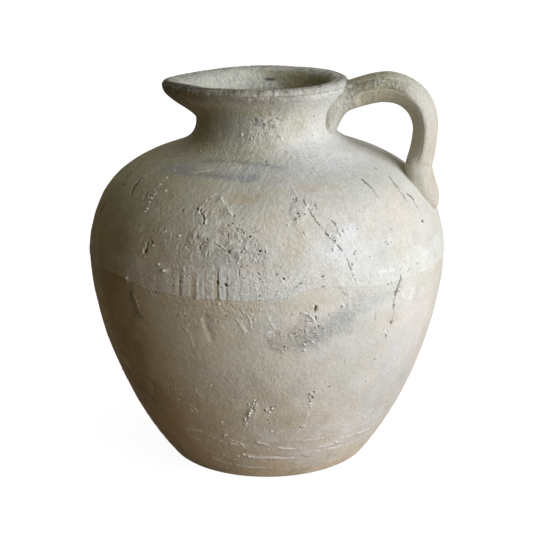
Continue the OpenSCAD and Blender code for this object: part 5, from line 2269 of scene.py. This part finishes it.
class Effects:
    """The shader groups that every clay shares, each built once. Sizes in them are in millimetres."""
    built: dict[str, bpy.types.NodeTree] = {}

    @classmethod
    def group(cls, name: str, output: str, **inputs: float) -> tuple[Graph, dict[str, bpy.types.NodeSocket]]:
        """Starts a group with float sockets.

        Args:
            name: the group's name.
            output: name of its output.
            inputs: its inputs and their values.

        Returns:
            Its graph, and the sockets its inputs come from.
        """
        tree = bpy.data.node_groups.new(name, "ShaderNodeTree")
        for label, value in inputs.items():
            socket = tree.interface.new_socket(label, in_out="INPUT", socket_type="NodeSocketFloat")
            socket.default_value = value
        tree.interface.new_socket(output, in_out="OUTPUT", socket_type="NodeSocketFloat")
        graph = Graph(tree)
        cls.built[name] = tree
        given = graph.node("NodeGroupInput").outputs
        return graph, {label: given[label] for label in inputs}

    @classmethod
    def place(cls, graph: Graph, name: str, **values: Feed) -> bpy.types.NodeSocket:
        """Puts a group into a material with its own values, and returns its output.

        Args:
            graph: the material's graph.
            name: the group's name.
            values: its inputs, by name.

        Returns:
            The group's output.
        """
        if not cls.built:
            for build in (cls.clouds, cls.grain, cls.pores, cls.streaks, cls.crazing):
                build()
        feeds = {label.capitalize(): value for label, value in values.items()}
        return graph.node("ShaderNodeGroup", feeds, node_tree=cls.built[name]).outputs[0]

    @classmethod
    def clouds(cls) -> None:
        """A gain about 1, in soft clouds."""
        graph, given = cls.group("clay_clouds", "Gain", Size=20.0, Detail=4.0, Contrast=0.1)
        cloud = graph.noise(given["Size"], given["Detail"])
        graph.give(graph.plus(graph.times(graph.less(cloud, 0.5), given["Contrast"], 2.0), 1.0))

    @classmethod
    def grain(cls) -> None:
        """The height of the clay's grain."""
        graph, given = cls.group("clay_grain", "Height", Size=2.0, Detail=3.0)
        graph.give(graph.noise(given["Size"], given["Detail"]))

    @classmethod
    def pores(cls) -> None:
        """Small round dots of uneven size, with a share of them left out."""
        graph, given = cls.group("clay_pores", "Mask", Size=5.0, Share=0.3, Width=0.16)
        space = graph.space()
        bend = graph.node("ShaderNodeTexNoise", {"Vector": space, "Scale": 700.0, "Detail": 1.0})
        shake = graph.vector("MULTIPLY", bend.outputs["Color"], (0.0009, 0.0009, 0.0009))
        moved = graph.vector("ADD", space, shake)
        scale = graph.math("DIVIDE", 1 / MM, given["Size"])
        cells = graph.node("ShaderNodeTexVoronoi", {"Vector": moved, "Scale": scale}).outputs
        chance = graph.node("ShaderNodeSeparateColor", {"Color": cells["Color"]}).outputs
        wide = graph.times(given["Width"], graph.plus(chance["Green"], 0.4))
        dot = graph.step(cells["Distance"], wide, graph.times(wide, 0.45))
        graph.give(graph.times(dot, graph.math("LESS_THAN", chance["Red"], given["Share"])))

    @classmethod
    def streaks(cls) -> None:
        """Patches drawn out upright."""
        graph, given = cls.group("clay_streaks", "Mask", Size=6.0, Stretch=7.0, Low=0.5, High=0.75)
        scale = graph.math("DIVIDE", 1 / MM, given["Size"])
        slow = graph.math("DIVIDE", scale, given["Stretch"])
        sizes = graph.node("ShaderNodeCombineXYZ", {"X": scale, "Y": scale, "Z": slow}).outputs[0]
        long = graph.vector("MULTIPLY", graph.space(), sizes)
        value = graph.node("ShaderNodeTexNoise", {"Vector": long, "Scale": 1.0, "Detail": 3.0}).outputs["Fac"]
        graph.give(graph.step(value, given["Low"], given["High"]))

    @classmethod
    def crazing(cls) -> None:
        """Thin wandering veins, broken off in patches."""
        graph, given = cls.group("clay_crazing", "Mask", Size=7.0, Width=0.02, Low=0.5, High=0.6)
        line = graph.math("ABSOLUTE", graph.less(graph.noise(given["Size"], 3.0), 0.5), 0.0)
        thin = graph.step(line, given["Width"], 0.0)
        patches = graph.noise(graph.times(given["Size"], 1.7), 2.0)
        graph.give(graph.times(thin, graph.step(patches, given["Low"], given["High"])))


@dataclass(frozen=True)
class ClayFinish:
    """How one kind of clay looks close to: grain, pores, flecks, clouds and wash."""
    name: str
    roughness: float = 0.92
    gloss: float = 0.22
    cloud: float = 0.1
    speckle: float = 0.46
    grain: float = 1.25
    crazing: float = 0.5
    pores: float = 0.26
    pore_size: float = 5.5
    flecks: float = 0.12
    wash: float = 0.3
    # the colour of the painted shade in hollows and pores
    dark: Colour = (0.045, 0.038, 0.026)
    pale: Colour = (0.91, 0.90, 0.85)
    lime: Colour = (0.80, 0.795, 0.755)

    def washed(self, graph: Graph, worn: Feed) -> bpy.types.NodeSocket:
        """The piece's tint in soft clouds and finer speckles, with streaks of lime.

        Args:
            graph: the material's graph.
            worn: how rough the clay is.

        Returns:
            The colour.
        """
        place = Effects.place
        tint = graph.attribute("tint", "Color")
        speckle = graph.times(self.speckle, worn)
        gain = graph.times(place(graph, "clay_clouds", size=17.0, detail=4.0, contrast=self.cloud),
                           place(graph, "clay_clouds", size=2.4, detail=3.0, contrast=speckle))
        streaks = place(graph, "clay_streaks", size=5.0, stretch=6.0, low=0.5, high=0.8)
        broken = graph.step(place(graph, "clay_clouds", size=30.0, detail=3.0, contrast=1.0), 0.85, 1.2)
        share = graph.times(streaks, broken, self.wash)
        return graph.mix(share, graph.mix(1.0, tint, graph.grey(gain), "MULTIPLY"), (*self.lime, 1.0))

    def material(self) -> bpy.types.Material:
        """The finish as a material, made once.

        Returns:
            The material.
        """
        known = bpy.data.materials.get("aged_" + self.name)
        if known:
            return known
        made = bpy.data.materials.new("aged_" + self.name)
        graph, place = Graph.within(made), Effects.place
        rough, hollow, chalk = (graph.attribute(name) for name in ("rough", "hollow", "chalk"))
        worn = graph.plus(0.35, rough)
        fleck = graph.times(place(graph, "clay_pores", size=4.2, share=self.flecks, width=0.2), worn)
        crumbling = graph.step(place(graph, "clay_grain", size=1.6, detail=2.0), 0.3, 0.52)
        chipped = graph.most(graph.times(chalk, crumbling), graph.times(graph.step(chalk, 0.5, 0.95), 0.9))
        white = graph.math("MINIMUM", graph.plus(fleck, chipped), 1.0)
        pore = graph.times(place(graph, "clay_pores", size=self.pore_size, share=self.pores, width=0.15), worn)
        speck = graph.times(place(graph, "clay_pores", size=2.3, share=0.3, width=0.2), worn)
        vein = place(graph, "clay_crazing", size=7.0, width=0.022, low=0.5, high=0.6)
        vein = graph.times(vein, graph.times(worn, self.crazing))
        pit = graph.times(graph.math("MINIMUM", graph.most(pore, vein), 1.0), 0.6)
        pit = graph.most(pit, graph.times(speck, 0.35))
        # painted shade: the hollows and pores mix towards the dark colour, as do the crazing veins
        deep = graph.times(graph.most(pit, graph.step(hollow, 0.02, 0.95, "LINEAR")), 0.93)
        colour = graph.mix(white, self.washed(graph, worn), (*self.pale, 1.0))
        colour = graph.mix(deep, colour, (*self.dark, 1.0))
        fine = place(graph, "clay_grain", size=1.1, detail=3.0)
        coarse = place(graph, "clay_grain", size=4.0, detail=3.0)
        height = graph.plus(graph.times(fine, worn, self.grain), graph.times(coarse, worn, self.grain * 1.6))
        height = graph.less(height, graph.times(pore, 0.35), graph.times(graph.plus(vein, speck), 0.25))
        height = graph.plus(height, graph.times(white, 0.12))
        bump = graph.node("ShaderNodeBump", {"Height": height, "Distance": MM, "Strength": 1.0}).outputs[0]
        matt = graph.less(self.roughness + 0.04, graph.times(fine, 0.08))
        shader = graph.node("ShaderNodeBsdfPrincipled", {
            "Base Color": colour, "Roughness": matt, "Normal": bump, "Specular IOR Level": self.gloss})
        graph.node("ShaderNodeOutputMaterial", {"Surface": shader.outputs[0]})
        return made


FINISHES = {finish.name: finish for finish in (
    ClayFinish("earth_clay", cloud=0.11, wash=0.1, flecks=0.12, grain=0.95),
    ClayFinish("limewashed_clay", cloud=0.09, wash=0.3, flecks=0.14),
    ClayFinish("pale_slip", cloud=0.08, wash=0.34, pores=0.22),
    ClayFinish("inner_clay", cloud=0.14, wash=0.0, pores=0.3, flecks=0.05),
)}


# ---------------------------------------------------------------- the studio

@dataclass
class Studio:
    """Camera, soft light from one side, and a white floor that keeps a faint shadow."""
    view_from: float = 10.0
    distance: float = 1.4
    height: float = 0.605
    aim: float = 0.1874
    aside: float = 0.0004
    lens: float = 97.46
    sensor: float = 36.0
    roll: float = -0.014
    key_turn: float = 52.0
    key_rise: float = 12.5
    key_far: float = 2.2
    key_size: float = 2.2
    key_watts: float = 70.0
    key_colour: Colour = (0.965, 1.0, 1.09)
    centre: float = 0.2
    sky: Colour = (0.070, 0.058, 0.027)
    bounce: Colour = (0.31, 0.19, 0.08)
    floor_half: float = 14.0

    def spot(self, turn: float, rise: float, far: float) -> Vector:
        """A place round the pot: turn from the camera's side towards its right, rise above level.

        Args:
            turn, rise: angles, in degrees.
            far: distance from the pot's middle, in metres.

        Returns:
            The place, in metres.
        """
        a, e = math.radians(self.view_from + turn), math.radians(rise)
        way = Vector((math.sin(a) * math.cos(e), -math.cos(a) * math.cos(e), math.sin(e)))
        return way * far + Vector((0, 0, self.centre))

    def camera(self) -> None:
        """Sets the camera up."""
        data = bpy.data.cameras.new("camera")
        data.lens, data.sensor_width = self.lens, self.sensor
        a = math.radians(self.view_from)
        place = Vector((math.sin(a) * self.distance, -math.cos(a) * self.distance, self.height))
        target = Vector((-math.cos(a) * self.aside, -math.sin(a) * self.aside, self.aim))
        turn = (target - place).to_track_quat("-Z", "Y").to_matrix().to_4x4()
        made = in_scene("camera", data)
        made.matrix_world = Matrix.Translation(place) @ turn @ Matrix.Rotation(self.roll, 4, "Z")
        bpy.context.scene.camera = made

    def lamp(self, name: str, place: Vector, size: float, watts: float, colour: Colour) -> None:
        """Adds one square soft light that faces the pot.

        Args:
            name: the lamp's name.
            place: where it stands, in metres.
            size: width of its square, in metres.
            watts: its power.
            colour: its colour, in linear light.
        """
        data = bpy.data.lights.new(name, "AREA")
        data.size, data.energy, data.color = size, watts, colour
        made = in_scene(name, data)
        made.location = place
        made.rotation_euler = (Vector((0, 0, self.centre)) - place).to_track_quat("-Z", "Y").to_euler()

    def seen(self, graph: Graph) -> bpy.types.NodeSocket:
        """1 for what the camera sees, straight or through gloss or glass."""
        path = graph.node("ShaderNodeLightPath").outputs
        return graph.most(path["Is Camera Ray"], path["Is Glossy Ray"], path["Is Transmission Ray"])

    def world(self) -> None:
        """White where it is seen, a dim warm sky where it lights."""
        made = bpy.data.worlds.new("studio")
        graph = Graph.within(made)
        up = graph.node("ShaderNodeSeparateXYZ", {0: graph.space("Generated")}).outputs["Z"]
        level = graph.plus(0.15, graph.times(graph.most(up, 0.0), 1.35))
        overhead = graph.mix(1.0, graph.grey(level), (*self.sky, 1.0), "MULTIPLY")
        back = graph.node("ShaderNodeBackground", {"Color": graph.mix(self.seen(graph), overhead, WHITE)})
        graph.node("ShaderNodeOutputWorld", {"Surface": back.outputs[0]})
        bpy.context.scene.world = made

    def floor(self) -> None:
        """A plain floor: white to the camera apart from the pot's faint shadow."""
        bm = bmesh.new()
        bmesh.ops.create_grid(bm, x_segments=1, y_segments=1, size=self.floor_half)
        mesh = mesh_from("floor", bm)
        made = in_scene("floor", mesh)
        stuff = bpy.data.materials.new("floor_white")
        graph = Graph.within(stuff)
        far = graph.node("ShaderNodeVectorMath", {0: graph.space()}, operation="LENGTH").outputs["Value"]
        glow = graph.plus(0.955, graph.times(graph.step(far, 0.13, 0.32), 0.06))
        white = graph.node("ShaderNodeEmission", {"Color": WHITE, "Strength": glow}).outputs[0]
        catch = graph.node("ShaderNodeBsdfDiffuse", {"Color": (0.2, 0.2, 0.2, 1.0)}).outputs[0]
        bright = graph.node("ShaderNodeAddShader", {0: white, 1: catch}).outputs[0]
        plain = graph.node("ShaderNodeBsdfDiffuse", {"Color": (*self.bounce, 1.0)}).outputs[0]
        shader = graph.node("ShaderNodeMixShader", {0: self.seen(graph), 1: plain, 2: bright}).outputs[0]
        graph.node("ShaderNodeOutputMaterial", {"Surface": shader})
        mesh.materials.append(stuff)

    def build(self) -> None:
        """Sets the whole studio up."""
        self.camera()
        self.world()
        self.floor()
        key = self.spot(self.key_turn, self.key_rise, self.key_far)
        self.lamp("key", key, self.key_size, self.key_watts, self.key_colour)
        self.lamp("behind", self.spot(176, 30, 2.6), 1.4, 9.0, (1.0, 0.97, 0.92))
        bpy.context.scene.view_settings.view_transform = "Standard"


def main() -> None:
    """Builds the studio and then the pot, piece by piece."""
    logging.basicConfig(level=logging.INFO, format="%(message)s")
    Studio().build()
    pot = Outline()
    wear = Weathering(pot)
    for maker in (Vessel(pot, wear), Rim(pot, wear), Strap(pot, wear)):
        pieces = maker.build()
        log.info("%s: %d pieces", type(maker).__name__, len(pieces))


if __name__ == "__main__":
    main()
